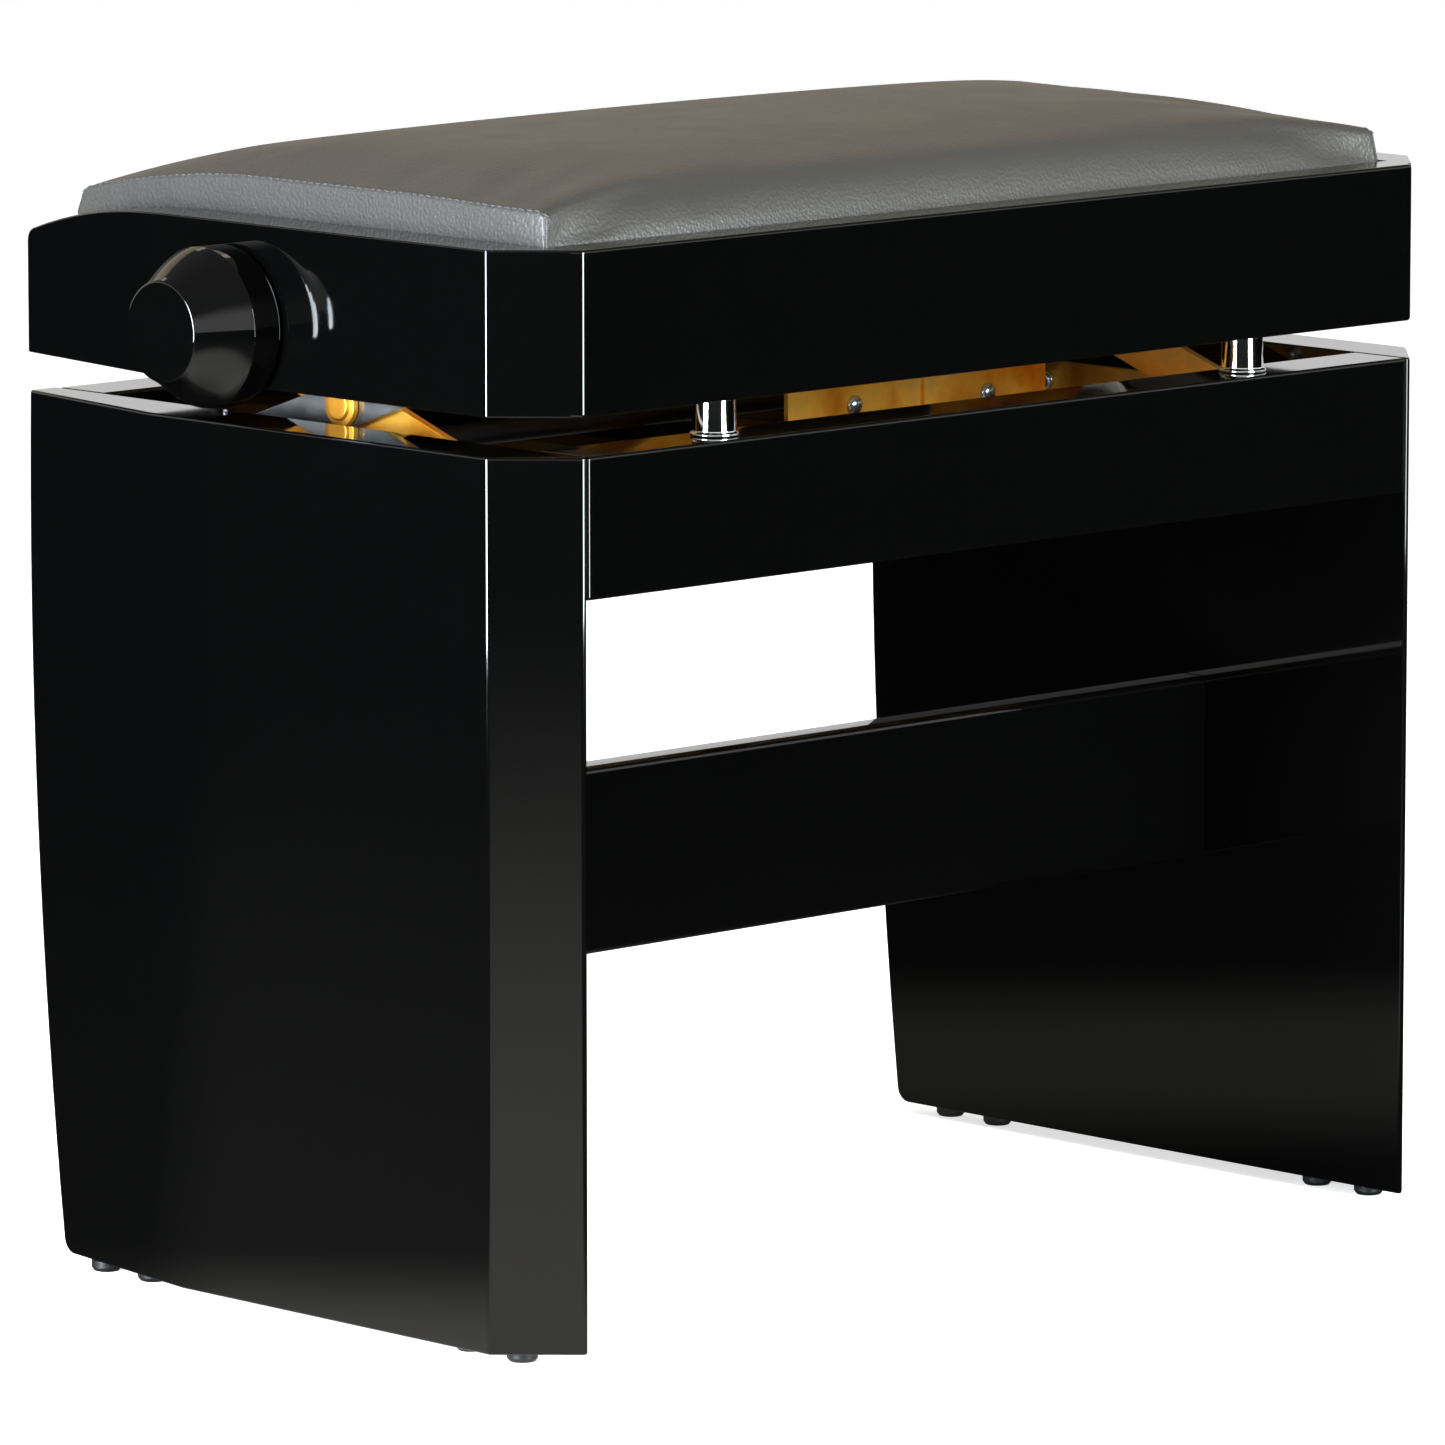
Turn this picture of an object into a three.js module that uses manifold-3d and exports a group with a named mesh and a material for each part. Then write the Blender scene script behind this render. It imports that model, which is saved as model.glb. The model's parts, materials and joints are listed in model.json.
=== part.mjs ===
// Adjustable piano bench: a lacquered base on two slab legs, a seat frame with a leather cushion, and
// between them a scissor lift that a hand-turned spindle raises and lowers. Millimetres, +Z up. The
// origin is the centre of the footprint on the floor, +X runs along the bench and the player sits facing
// +Y or -Y. Everything is drawn in the lowest position, where the seat frame rests on its four stops.
import * as THREE from "three";
import { mergeVertices } from "three/addons/utils/BufferGeometryUtils.js";
import Module from "manifold-3d";

// ---- Driving dimensions ----
const GAP = 0.3; // air between pieces that touch
const HALF_LENGTH = 275;
const FRONT = -165; // the flat long side
const BACK = 165; // the long side with the tapered corners
const CHAMFER = 27.75; // 45 degree corner at both ends of the front
const TAPER_RUN = 93.5; // length of the tapered back corner along Y
const TAPER_DROP = 15.7; // how far that corner narrows the bench
const FOOT_HEIGHT = 5;
const LEG_TOP = 375.2;
const LEG_THICKNESS = 30;
const RAIL_BOTTOM = 316.4;
const FRAME_BOTTOM = 391.3;
const FRAME_TOP = 459.5;
const SEAT_END_THICKNESS = 24;
const CUSHION_TOP = 487;
const ARM = 230; // pivot to pivot length of every lifting arm
const REST_ANGLE = THREE.MathUtils.degToRad(19);
const UPPER_PIVOT = 418; // height of the scissor pivots in the seat, lowered
const SPINDLE = { y: 18, z: 416.5, radius: 8 };

// ---- Sizes that follow from them ----
const RISE = ARM * Math.sin(REST_ANGLE);
const REACH = ARM * Math.cos(REST_ANGLE);
const LOWER_PIVOT = UPPER_PIVOT - RISE;
const JACK_PIVOT = SPINDLE.z - RISE;
const LEG_INNER = HALF_LENGTH - LEG_THICKNESS;
const SEAT_INNER = HALF_LENGTH - SEAT_END_THICKNESS;
const PIN_X = 149; // the jack's fixed pivot, right of the middle
const NUT_X = PIN_X - REACH; // the nut on the spindle, left of it

// ---- Materials ----
const material = (color, roughness, metalness) =>
  new THREE.MeshStandardMaterial({ color, roughness, metalness });
const LACQUER = material(0x0b0b09, 0.08, 0);
const LEATHER = material(0x5c5a56, 0.55, 0);
const PLYWOOD = material(0xb08f62, 0.7, 0);
const ZINC = material(0xc08a2c, 0.35, 1);
const STEEL = material(0xaab2ba, 0.3, 1);
const DARK_STEEL = material(0x2c2c2e, 0.4, 1);
const CHROME = material(0xe6e8ea, 0.08, 1);
const BRASS = material(0xb98f3a, 0.3, 1);
const PLASTIC = material(0x16161a, 0.45, 0);
const NYLON = material(0xe4e2d8, 0.5, 0);

// ---- Solids: closed position-only geometry, joined and cut with manifold-3d ----
const wasm = await Module();
wasm.setup();

function merged(geometry) {
  const plain = geometry.clone();
  plain.deleteAttribute("normal");
  plain.deleteAttribute("uv");
  return mergeVertices(plain, 1e-4);
}

function solid(geometry) {
  const { attributes, index } = merged(geometry);
  const triVerts = new Uint32Array(index.array);
  return new wasm.Manifold(
    new wasm.Mesh({ numProp: 3, vertProperties: attributes.position.array, triVerts }),
  );
}

function geometryOf(manifold) {
  const { vertProperties, triVerts } = manifold.getMesh();
  return new THREE.BufferGeometry()
    .setAttribute("position", new THREE.BufferAttribute(vertProperties, 3))
    .setIndex(new THREE.BufferAttribute(triVerts, 1));
}

const cut = (base, ...tools) =>
  geometryOf(tools.reduce((made, tool) => made.subtract(solid(tool)), solid(base)));
const join = (first, ...rest) =>
  geometryOf(rest.reduce((made, other) => made.add(solid(other)), solid(first)));

function box(x0, x1, y0, y1, z0, z1) {
  const middle = [(x0 + x1) / 2, (y0 + y1) / 2, (z0 + z1) / 2];
  return new THREE.BoxGeometry(x1 - x0, y1 - y0, z1 - z0).translate(...middle);
}

// A shape drawn in (y, z), extruded along X.
function extrudeX(shape, x0, x1) {
  const turn = new THREE.Matrix4().makeBasis(
    new THREE.Vector3(0, 1, 0),
    new THREE.Vector3(0, 0, 1),
    new THREE.Vector3(1, 0, 0),
  );
  return new THREE.ExtrudeGeometry(shape, { depth: x1 - x0, bevelEnabled: false, curveSegments: 8 })
    .applyMatrix4(turn)
    .translate(x0, 0, 0);
}

// A shape drawn in (x, z), extruded along Y.
function extrudeY(shape, y0, y1) {
  return new THREE.ExtrudeGeometry(shape, { depth: y1 - y0, bevelEnabled: false, curveSegments: 8 })
    .rotateX(Math.PI / 2)
    .translate(0, y1, 0);
}

// A solid of revolution about X, Y or Z through a centre, from [radius, distance along the axis] points.
function turned(profile, axis, centre, segments = 24) {
  const points = profile.map(([radius, along]) => new THREE.Vector2(radius, along));
  const geometry = new THREE.LatheGeometry(points, segments);
  if (axis === "x") geometry.rotateZ(-Math.PI / 2);
  if (axis === "z") geometry.rotateX(Math.PI / 2);
  const made = solid(geometry);
  const facing = made.volume() < 0 ? flipped(geometry) : geometryOf(made);
  return facing.translate(...centre);
}

const rod = (radius, from, to, axis, centre, segments) =>
  turned([[0, from], [radius, from], [radius, to], [0, to]], axis, centre, segments);

const ring = (inner, outer, from, to, axis, centre) =>
  turned([[inner, from], [outer, from], [outer, to], [inner, to], [inner, from]], axis, centre);

function flipped(geometry) {
  const index = merged(geometry).index.array.slice();
  for (let i = 0; i < index.length; i += 3) [index[i], index[i + 1]] = [index[i + 1], index[i]];
  return merged(geometry).setIndex(new THREE.BufferAttribute(index, 1));
}

// A closed skin over rings of points that all have the same count. Each ring is flat, and the plane
// that its caps are filled in is given by the two coordinates named in `plane`.
function loft(rings, plane) {
  const count = rings[0].length;
  const positions = rings.flat().flatMap(({ x, y, z }) => [x, y, z]);
  const index = [];
  for (let r = 0; r + 1 < rings.length; r++) {
    for (let i = 0; i < count; i++) {
      const a = r * count + i;
      const b = r * count + ((i + 1) % count);
      index.push(a, b, b + count, a, b + count, a + count);
    }
  }
  const flat = rings[0].map((p) => new THREE.Vector2(p[plane[0]], p[plane[1]]));
  const last = (rings.length - 1) * count;
  const forward = !THREE.ShapeUtils.isClockWise(flat);
  for (const [a, b, c] of THREE.ShapeUtils.triangulateShape(flat, [])) {
    const cap = forward ? [a, b, c] : [a, c, b];
    index.push(cap[2], cap[1], cap[0], last + cap[0], last + cap[1], last + cap[2]);
  }
  const geometry = new THREE.BufferGeometry()
    .setAttribute("position", new THREE.BufferAttribute(new Float32Array(positions), 3))
    .setIndex(index);
  return signedVolume(geometry) < 0 ? flipped(geometry) : geometry;
}

function signedVolume({ attributes: { position }, index }) {
  const [a, b, c] = [new THREE.Vector3(), new THREE.Vector3(), new THREE.Vector3()];
  let sum = 0;
  for (let i = 0; i < index.count; i += 3) {
    a.fromBufferAttribute(position, index.getX(i));
    b.fromBufferAttribute(position, index.getX(i + 1));
    c.fromBufferAttribute(position, index.getX(i + 2));
    sum += a.dot(b.cross(c)) / 6;
  }
  return sum;
}

// `count` steps from a to b, both ends included.
const steps = (a, b, count) => Array.from({ length: count + 1 }, (_, i) => a + ((b - a) * i) / count);

// ---- The assembly ----
const bench = new THREE.Group();

function add(name, geometry, look) {
  const made = new THREE.Mesh(geometry, look);
  made.name = name;
  bench.add(made);
}

const SIDES = [["left", -1], ["right", 1]];

// ---- Base: two slab legs, two rails, the stretcher, feet and stops ----
const ARC_RADIUS = 2500; // the legs' back edge bows gently, deepest at ARC_HEIGHT
const ARC_HEIGHT = 310;
const TOE_RADIUS = 6;

const backEdge = (z) => BACK - (z - ARC_HEIGHT) ** 2 / (2 * ARC_RADIUS);

// The plan of a leg at height z, with its back corner tapered along the bowed edge.
function legRing(side, z) {
  const arc = backEdge(z);
  const low = Math.max(0, TOE_RADIUS - (z - FOOT_HEIGHT));
  const back = arc - (TOE_RADIUS - Math.sqrt(TOE_RADIUS ** 2 - low ** 2));
  const taper = (TAPER_DROP * (back - arc + TAPER_RUN)) / TAPER_RUN;
  return [
    [LEG_INNER, FRONT],
    [HALF_LENGTH - CHAMFER, FRONT],
    [HALF_LENGTH, FRONT + CHAMFER],
    [HALF_LENGTH, arc - TAPER_RUN],
    [HALF_LENGTH - taper, back],
    [LEG_INNER, back],
  ].map(([x, y]) => new THREE.Vector3(side * x, y, z));
}

function leg(side) {
  const toe = steps(0, 1, 4).map((t) => FOOT_HEIGHT + TOE_RADIUS * (1 - Math.cos((t * Math.PI) / 2)));
  const heights = [...toe, ...steps(FOOT_HEIGHT + TOE_RADIUS, LEG_TOP, 16).slice(1)];
  return loft(heights.map((z) => legRing(side, z)), ["x", "y"]);
}

function roundedBar(y0, y1, z0, z1, radius) {
  const shape = new THREE.Shape();
  shape.moveTo(y0 + radius, z0);
  shape.lineTo(y1 - radius, z0);
  shape.absarc(y1 - radius, z0 + radius, radius, -Math.PI / 2, 0);
  shape.absarc(y1 - radius, z1 - radius, radius, 0, Math.PI / 2);
  shape.absarc(y0 + radius, z1 - radius, radius, Math.PI / 2, Math.PI);
  shape.absarc(y0 + radius, z0 + radius, radius, Math.PI, 1.5 * Math.PI);
  return shape;
}

const RAIL_THICKNESS = 30;
const BACK_RAIL = { y0: 133.6, y1: 162.5 };
const STRETCHER = { y0: -46.8, y1: -30.8, z0: 142.6, z1: 222.8, radius: 3 };
const RAIL_HALF = LEG_INNER - GAP;
const FRONT_RAIL_INNER = FRONT + RAIL_THICKNESS;

for (const [name, side] of SIDES) add(`${name}_leg_panel`, leg(side), LACQUER);
add("front_rail", box(-RAIL_HALF, RAIL_HALF, FRONT, FRONT_RAIL_INNER, RAIL_BOTTOM, LEG_TOP), LACQUER);
add("back_rail", box(-RAIL_HALF, RAIL_HALF, BACK_RAIL.y0, BACK_RAIL.y1, RAIL_BOTTOM, LEG_TOP), LACQUER);
add(
  "stretcher",
  extrudeX(
    roundedBar(STRETCHER.y0, STRETCHER.y1, STRETCHER.z0, STRETCHER.z1, STRETCHER.radius),
    -RAIL_HALF,
    RAIL_HALF,
  ),
  LACQUER,
);

const FOOT = { x: 256, y: [-137, -106, 93, 123], radius: 6.5, edge: 1 };
for (const [name, side] of SIDES) {
  FOOT.y.forEach((y, i) => {
    const top = FOOT_HEIGHT - GAP;
    const { radius, edge } = FOOT;
    const profile = [[0, 0], [radius - edge, 0], [radius, edge], [radius, top], [0, top]];
    add(`${name}_foot_${i + 1}`, turned(profile, "z", [side * FOOT.x, y, 0], 16), PLASTIC);
  });
}

const STOP = { x: 158, front: -149, back: 149, base: 10.2, waist: 9.3, top: 8.7, lip: 1 };
for (const [row, y] of [["front", STOP.front], ["back", STOP.back]]) {
  for (const [name, side] of SIDES) {
    const low = LEG_TOP + GAP;
    const high = FRAME_BOTTOM - GAP;
    const profile = [
      [0, low], [STOP.base, low], [STOP.base, low + STOP.lip], [STOP.waist, low + 2 * STOP.lip],
      [STOP.top, high], [0, high],
    ];
    add(`${name}_${row}_stop`, turned(profile, "z", [side * STOP.x, y, 0]), CHROME);
  }
}

// ---- Scissor lift: brackets, arms, rods, glides and rivets ----
const PIVOT_Y = REACH / 2; // the fixed pivots stand at the back, the gliding ends at the front
const ROD_RADIUS = 5;
const HOLE_RADIUS = ROD_RADIUS + GAP;
const SHEET = 2.5; // thickness of the pressed steel brackets
const TRACK_HALF = 10.5; // half the inner height of a glide track
const BRACKET_HALF = 125; // half length along Y
const TRACK_END = -25; // the track's flanges stop here
const TRACK_LIP = 230; // distance of the flanges' free edge from the middle
const ARM_THICKNESS = 4;
const ARM_HALF_WIDTH = 10;
const OUTER_ARM_X = 224; // inner face of the outer arm
const INNER_ARM_X = OUTER_ARM_X - 2 * GAP - ARM_THICKNESS;

// A bracket against a panel at x = wall: a web with the pivot hole, and two flanges for the glide.
function bracket(side, wall, pivotZ, holes) {
  const height = TRACK_HALF + SHEET;
  const web = new THREE.Shape([
    new THREE.Vector2(-BRACKET_HALF, pivotZ - height),
    new THREE.Vector2(BRACKET_HALF, pivotZ - height),
    new THREE.Vector2(BRACKET_HALF, pivotZ + height),
    new THREE.Vector2(-BRACKET_HALF, pivotZ + height),
  ]);
  for (const [y, z, radius] of holes) {
    web.holes.push(new THREE.Path().absarc(y, z, radius, 0, 2 * Math.PI));
  }
  const [near, far] = [wall - GAP, wall - GAP - SHEET];
  const span = (a, b) => (side > 0 ? [b, a] : [-a, -b]);
  const made = extrudeX(web, ...span(near, far));
  const lip = (z0, z1) => box(...span(near, TRACK_LIP), -BRACKET_HALF, TRACK_END, z0, z1);
  return join(made, lip(pivotZ - height, pivotZ - TRACK_HALF), lip(pivotZ + TRACK_HALF, pivotZ + height));
}

const BUSH = { radius: 10.5, bore: SPINDLE.radius + 0.4, flange: 17, flangeThickness: SHEET };
const BUSH_HOLE = BUSH.radius + GAP;
for (const [name, side] of SIDES) {
  const pivot = [PIVOT_Y, LOWER_PIVOT, HOLE_RADIUS];
  add(`${name}_lower_bracket`, bracket(side, LEG_INNER, LOWER_PIVOT, [pivot]), ZINC);
  const holes = [[PIVOT_Y, UPPER_PIVOT, HOLE_RADIUS], [SPINDLE.y, SPINDLE.z, BUSH_HOLE]];
  add(`${name}_upper_bracket`, bracket(side, SEAT_INNER, UPPER_PIVOT, holes), ZINC);
}

// A flat bar with round ends, from pivot to pivot about the middle of the scissor, with three holes.
function flatArm(halfLength, halfWidth, holeRadius, middleHole) {
  const shape = new THREE.Shape();
  shape.moveTo(-halfLength, -halfWidth);
  shape.lineTo(halfLength, -halfWidth);
  shape.absarc(halfLength, 0, halfWidth, -Math.PI / 2, Math.PI / 2);
  shape.lineTo(-halfLength, halfWidth);
  shape.absarc(-halfLength, 0, halfWidth, Math.PI / 2, 1.5 * Math.PI);
  const at = middleHole ? [-halfLength, 0, halfLength] : [-halfLength, halfLength];
  for (const u of at) shape.holes.push(new THREE.Path().absarc(u, 0, holeRadius, 0, 2 * Math.PI));
  return shape;
}

// slope +1 rises towards +Y, slope -1 rises towards -Y.
function scissorArm(side, innerFace, slope) {
  const from = side > 0 ? innerFace : -innerFace - ARM_THICKNESS;
  return extrudeX(flatArm(ARM / 2, ARM_HALF_WIDTH, HOLE_RADIUS, true), from, from + ARM_THICKNESS)
    .rotateX(slope * REST_ANGLE)
    .translate(0, 0, (LOWER_PIVOT + UPPER_PIVOT) / 2);
}

const GLIDE = { radius: 10.2, bore: ROD_RADIUS + GAP };
const LOWER_ROD_END = LEG_INNER - 4;
const UPPER_ROD_END = SEAT_INNER - 5;
const RIVET = { shank: 5, head: 9, rise: 4 };

function domeRivet(side) {
  const outer = OUTER_ARM_X + ARM_THICKNESS + GAP;
  const inner = INNER_ARM_X - GAP;
  const dome = steps(0, 1, 5).map((t) => (t * Math.PI) / 2);
  const outerHead = dome.map((a) => [RIVET.head * Math.cos(a), outer + RIVET.rise * Math.sin(a)]);
  const innerHead = dome.map((a) => [RIVET.head * Math.cos(a), inner - RIVET.rise * Math.sin(a)]).reverse();
  innerHead[0][0] = 0;
  outerHead[outerHead.length - 1][0] = 0;
  const profile = [...innerHead, [RIVET.shank, inner], [RIVET.shank, outer], ...outerHead];
  const along = profile.map(([radius, x]) => [radius, side * x]);
  return turned(along, "x", [0, 0, (LOWER_PIVOT + UPPER_PIVOT) / 2], 16);
}

for (const [name, side] of SIDES) {
  add(`${name}_outer_arm`, scissorArm(side, OUTER_ARM_X, -1), STEEL);
  add(`${name}_inner_arm`, scissorArm(side, INNER_ARM_X, 1), ZINC);
  add(`${name}_centre_rivet`, domeRivet(side), ZINC);
  const glideSpan = [side * (TRACK_LIP + 1.5), side * (LOWER_ROD_END - 1)].sort((a, b) => a - b);
  const glide = (z) => ring(GLIDE.bore, GLIDE.radius, ...glideSpan, "x", [0, -PIVOT_Y, z]);
  add(`${name}_lower_glide`, glide(LOWER_PIVOT), NYLON);
  add(`${name}_upper_glide`, glide(UPPER_PIVOT), NYLON);
}
const rodX = (end, y, z) => rod(ROD_RADIUS, -end, end, "x", [0, y, z], 16);
add("lower_pivot_rod", rodX(LEG_INNER - 1, PIVOT_Y, LOWER_PIVOT), DARK_STEEL);
add("upper_glide_rod", rodX(UPPER_ROD_END, -PIVOT_Y, UPPER_PIVOT), DARK_STEEL);
add("lower_glide_rod", rodX(LOWER_ROD_END, -PIVOT_Y, LOWER_PIVOT), DARK_STEEL);
add("upper_pivot_rod", rodX(SEAT_INNER - 1, PIVOT_Y, UPPER_PIVOT), DARK_STEEL);

// ---- Jack: bed channel, cross bars, lifting plates, nut, spindle and knobs ----
const BED = { left: 27, backLeft: 70, right: 186, wall: 19, bottom: JACK_PIVOT - 10.5, top: 364 };
const DOUBLER = { left: 108, right: 165, slant: 22, bottom: 350, tab: 14, tabBottom: 344 };
const CROSS_BAR = { left: 45, right: 168, width: 30, thickness: 5 };
const PIN = { radius: 4.7, hole: 5, head: 7.5, nose: 4.5, headHeight: 3.5, tailHeight: 2 };
const JACK_SHEET = 3;
const JACK_HALF_WIDTH = 9;
const JACK_PLATE = 11; // distance of the jack's plates from the spindle's axis, along Y
const NUT = { half: 13, width: 10.7, height: 11, trunnion: JACK_PLATE + JACK_SHEET + 2 };
const BED_FRONT = SPINDLE.y - BED.wall - SHEET;
const BED_BACK = SPINDLE.y + BED.wall + SHEET;

// The plate that doubles the bed's front wall beside the pivot: a slanted end and a tab at the other.
function doubler() {
  const shape = new THREE.Shape([
    new THREE.Vector2(DOUBLER.left, DOUBLER.tabBottom),
    new THREE.Vector2(DOUBLER.left + DOUBLER.tab, DOUBLER.tabBottom),
    new THREE.Vector2(DOUBLER.left + DOUBLER.tab, DOUBLER.bottom),
    new THREE.Vector2(DOUBLER.right, DOUBLER.bottom),
    new THREE.Vector2(DOUBLER.right - DOUBLER.slant, BED.top),
    new THREE.Vector2(DOUBLER.left, BED.top),
  ]);
  return extrudeY(shape, BED_FRONT - SHEET, BED_FRONT);
}

function bedChannel() {
  const web = box(BED.left, BED.right, BED_FRONT, BED_BACK, BED.bottom - SHEET, BED.bottom);
  const front = box(BED.left, BED.right, BED_FRONT, BED_FRONT + SHEET, BED.bottom - SHEET, BED.top);
  const back = box(BED.backLeft, BED.right, BED_BACK - SHEET, BED_BACK, BED.bottom - SHEET, BED.top);
  const hole = rod(PIN.hole, BED_FRONT - 1, BED_BACK + 1, "y", [PIN_X, 0, JACK_PIVOT], 16);
  return cut(join(web, front, back, doubler()), hole);
}

// One plate of the jack, from the pin in the bed up to the nut's trunnion.
function jackPlate(distance) {
  const y0 = SPINDLE.y + (distance > 0 ? distance : distance - JACK_SHEET);
  return extrudeY(flatArm(ARM / 2, JACK_HALF_WIDTH, HOLE_RADIUS, false), y0, y0 + JACK_SHEET)
    .rotateY(REST_ANGLE)
    .translate((PIN_X + NUT_X) / 2, 0, JACK_PIVOT + RISE / 2);
}

function jackNut() {
  const block = box(-NUT.half, NUT.half, -NUT.width, NUT.width, -NUT.height, NUT.height);
  const pins = rod(PIN.radius, -NUT.trunnion, NUT.trunnion, "y", [0, 0, 0], 16);
  const bore = rod(BUSH.bore, -NUT.half - 1, NUT.half + 1, "x", [0, 0, 0], 16);
  return cut(join(block, pins), bore).translate(NUT_X, SPINDLE.y, SPINDLE.z);
}

function pivotPin() {
  const face = BED.wall + SHEET + GAP;
  const tip = face + PIN.headHeight;
  const profile = [
    [0, -tip], [PIN.nose, -tip + 0.5], [PIN.head, -face - 1], [PIN.head, -face], [PIN.radius, -face],
    [PIN.radius, face], [PIN.head, face], [PIN.head, face + PIN.tailHeight], [0, face + PIN.tailHeight],
  ];
  return turned(profile, "y", [PIN_X, SPINDLE.y, JACK_PIVOT], 16);
}

add("jack_bed", bedChannel(), ZINC);
add("jack_front_plate", jackPlate(-JACK_PLATE), ZINC);
add("jack_back_plate", jackPlate(JACK_PLATE), ZINC);
add("jack_pin", pivotPin(), STEEL);
add("jack_nut", jackNut(), BRASS);
for (const [name, x] of [["left", CROSS_BAR.left], ["right", CROSS_BAR.right]]) {
  const half = CROSS_BAR.width / 2;
  const top = BED.bottom - SHEET - GAP;
  const [y0, y1] = [FRONT_RAIL_INNER + GAP, BACK_RAIL.y0 - GAP];
  add(`${name}_cross_bar`, box(x - half, x + half, y0, y1, top - CROSS_BAR.thickness, top), ZINC);
}

const KNOB = { radius: 33.5, face: 21, collar: 20, length: 38.5, round: 2.5 };
const KNOB_BORE = SPINDLE.radius + GAP;
const SPINDLE_END = HALF_LENGTH + KNOB.collar;

// Conical hand knob turned about X, with a blind bore that the spindle's end fills.
function knob(side) {
  const back = HALF_LENGTH + 1;
  const nose = HALF_LENGTH + KNOB.length;
  const shoulder = HALF_LENGTH + KNOB.collar;
  const profile = [
    [0, SPINDLE_END + GAP], [KNOB_BORE, SPINDLE_END + GAP], [KNOB_BORE, back],
    [KNOB.radius - KNOB.round, back], [KNOB.radius, back + KNOB.round],
    [KNOB.radius, shoulder], [KNOB.face + KNOB.round, nose - KNOB.round], [KNOB.face, nose], [0, nose],
  ].map(([radius, x]) => [radius, side * x]);
  return turned(profile, "x", [0, SPINDLE.y, SPINDLE.z], 36);
}

function flangedBush(side) {
  const [outer, face] = [HALF_LENGTH - 2, SEAT_INNER - SHEET - 2 * GAP];
  const profile = [
    [BUSH.bore, outer], [BUSH.radius, outer], [BUSH.radius, face], [BUSH.flange, face],
    [BUSH.flange, face - BUSH.flangeThickness], [BUSH.bore, face - BUSH.flangeThickness],
    [BUSH.bore, outer],
  ].map(([radius, x]) => [radius, side * x]);
  return turned(profile, "x", [0, SPINDLE.y, SPINDLE.z]);
}

const COLLAR = { radius: 13, length: 8 };
add("spindle", rod(SPINDLE.radius, -SPINDLE_END, SPINDLE_END, "x", [0, SPINDLE.y, SPINDLE.z]), STEEL);
for (const [name, side] of SIDES) {
  add(`${name}_knob`, knob(side), LACQUER);
  add(`${name}_spindle_bush`, flangedBush(side), NYLON);
  const face = SEAT_INNER - 2 * SHEET - 3 * GAP;
  const span = [side * face, side * (face - COLLAR.length)].sort((a, b) => a - b);
  const centre = [0, SPINDLE.y, SPINDLE.z];
  add(`${name}_collar`, ring(SPINDLE.radius + GAP, COLLAR.radius, ...span, "x", centre), STEEL);
}

// ---- Seat: end panels, rails, board and cushion ----
const SLOPE_START = 60; // behind this the end panels' top edge curves down
const SLOPE_RADIUS = 340;
const SEAT_RAIL = 17.5;
const REBATE = { depth: 8.5, z: 435.7 }; // ledge that the seat board lies on
const BACK_RAIL_TOP = 439.4;
const BOARD = { z0: 436, z1: 448.3 };
const CORNER = 4; // radius of the end panels' top back corner

const slope = (y) => (Math.max(0, y - SLOPE_START) ** 2) / (2 * SLOPE_RADIUS);

function seatEnd(side) {
  const cornerDrop = (y) => {
    const near = Math.max(0, y - (BACK - CORNER));
    return CORNER - Math.sqrt(CORNER ** 2 - near ** 2);
  };
  const outline = (y) => {
    const chamfer = Math.max(0, FRONT + CHAMFER - y);
    const taper = (TAPER_DROP * Math.max(0, y - (BACK - TAPER_RUN))) / TAPER_RUN;
    return HALF_LENGTH - chamfer - taper;
  };
  const stations = [
    FRONT + CHAMFER - SEAT_END_THICKNESS + 1, FRONT + CHAMFER, SLOPE_START, BACK - TAPER_RUN,
    ...steps(BACK - TAPER_RUN, BACK - CORNER, 8).slice(1), BACK - CORNER / 2, BACK - CORNER / 6, BACK,
  ];
  const rings = stations.map((y) => {
    const top = FRAME_TOP - slope(y) - cornerDrop(y);
    const [inner, outer] = [SEAT_INNER, outline(y)];
    return [[inner, FRAME_BOTTOM], [outer, FRAME_BOTTOM], [outer, top], [inner, top]].map(
      ([x, z]) => new THREE.Vector3(side * x, y, z),
    );
  });
  const ends = [side * (SEAT_INNER - 5), side * (HALF_LENGTH + 5)].sort((a, b) => a - b);
  return cut(loft(rings, ["x", "z"]), rod(BUSH_HOLE, ...ends, "x", [0, SPINDLE.y, SPINDLE.z]));
}

// A rail with the board's ledge, between the seat ends; `top` is the height of its rim.
function seatRail(outer, rim, top) {
  const inward = -Math.sign(outer);
  const ledge = rim + inward * REBATE.depth;
  const shape = new THREE.Shape([
    new THREE.Vector2(outer, FRAME_BOTTOM),
    new THREE.Vector2(ledge, FRAME_BOTTOM),
    new THREE.Vector2(ledge, REBATE.z),
    new THREE.Vector2(rim, REBATE.z),
    new THREE.Vector2(rim, top),
    new THREE.Vector2(outer, top),
  ]);
  return extrudeX(shape, -SEAT_INNER + GAP, SEAT_INNER - GAP);
}

// The front rail's ends carry on the 45 degree chamfer of the seat ends.
function seatFrontRail() {
  const past = 20; // how far the cutters reach beyond the rail
  const corner = (side) => {
    const wedge = new THREE.Shape([
      new THREE.Vector2(side * (HALF_LENGTH - CHAMFER), FRONT),
      new THREE.Vector2(side * (HALF_LENGTH + past), FRONT + CHAMFER + past),
      new THREE.Vector2(side * (HALF_LENGTH + past), FRONT - past),
      new THREE.Vector2(side * (HALF_LENGTH - CHAMFER - past), FRONT - past),
    ]);
    const depth = FRAME_TOP - FRAME_BOTTOM + 2 * past;
    return new THREE.ExtrudeGeometry(wedge, { depth, bevelEnabled: false })
      .translate(0, 0, FRAME_BOTTOM - past);
  };
  return cut(seatRail(FRONT, FRONT + SEAT_RAIL, FRAME_TOP), corner(-1), corner(1));
}

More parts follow.
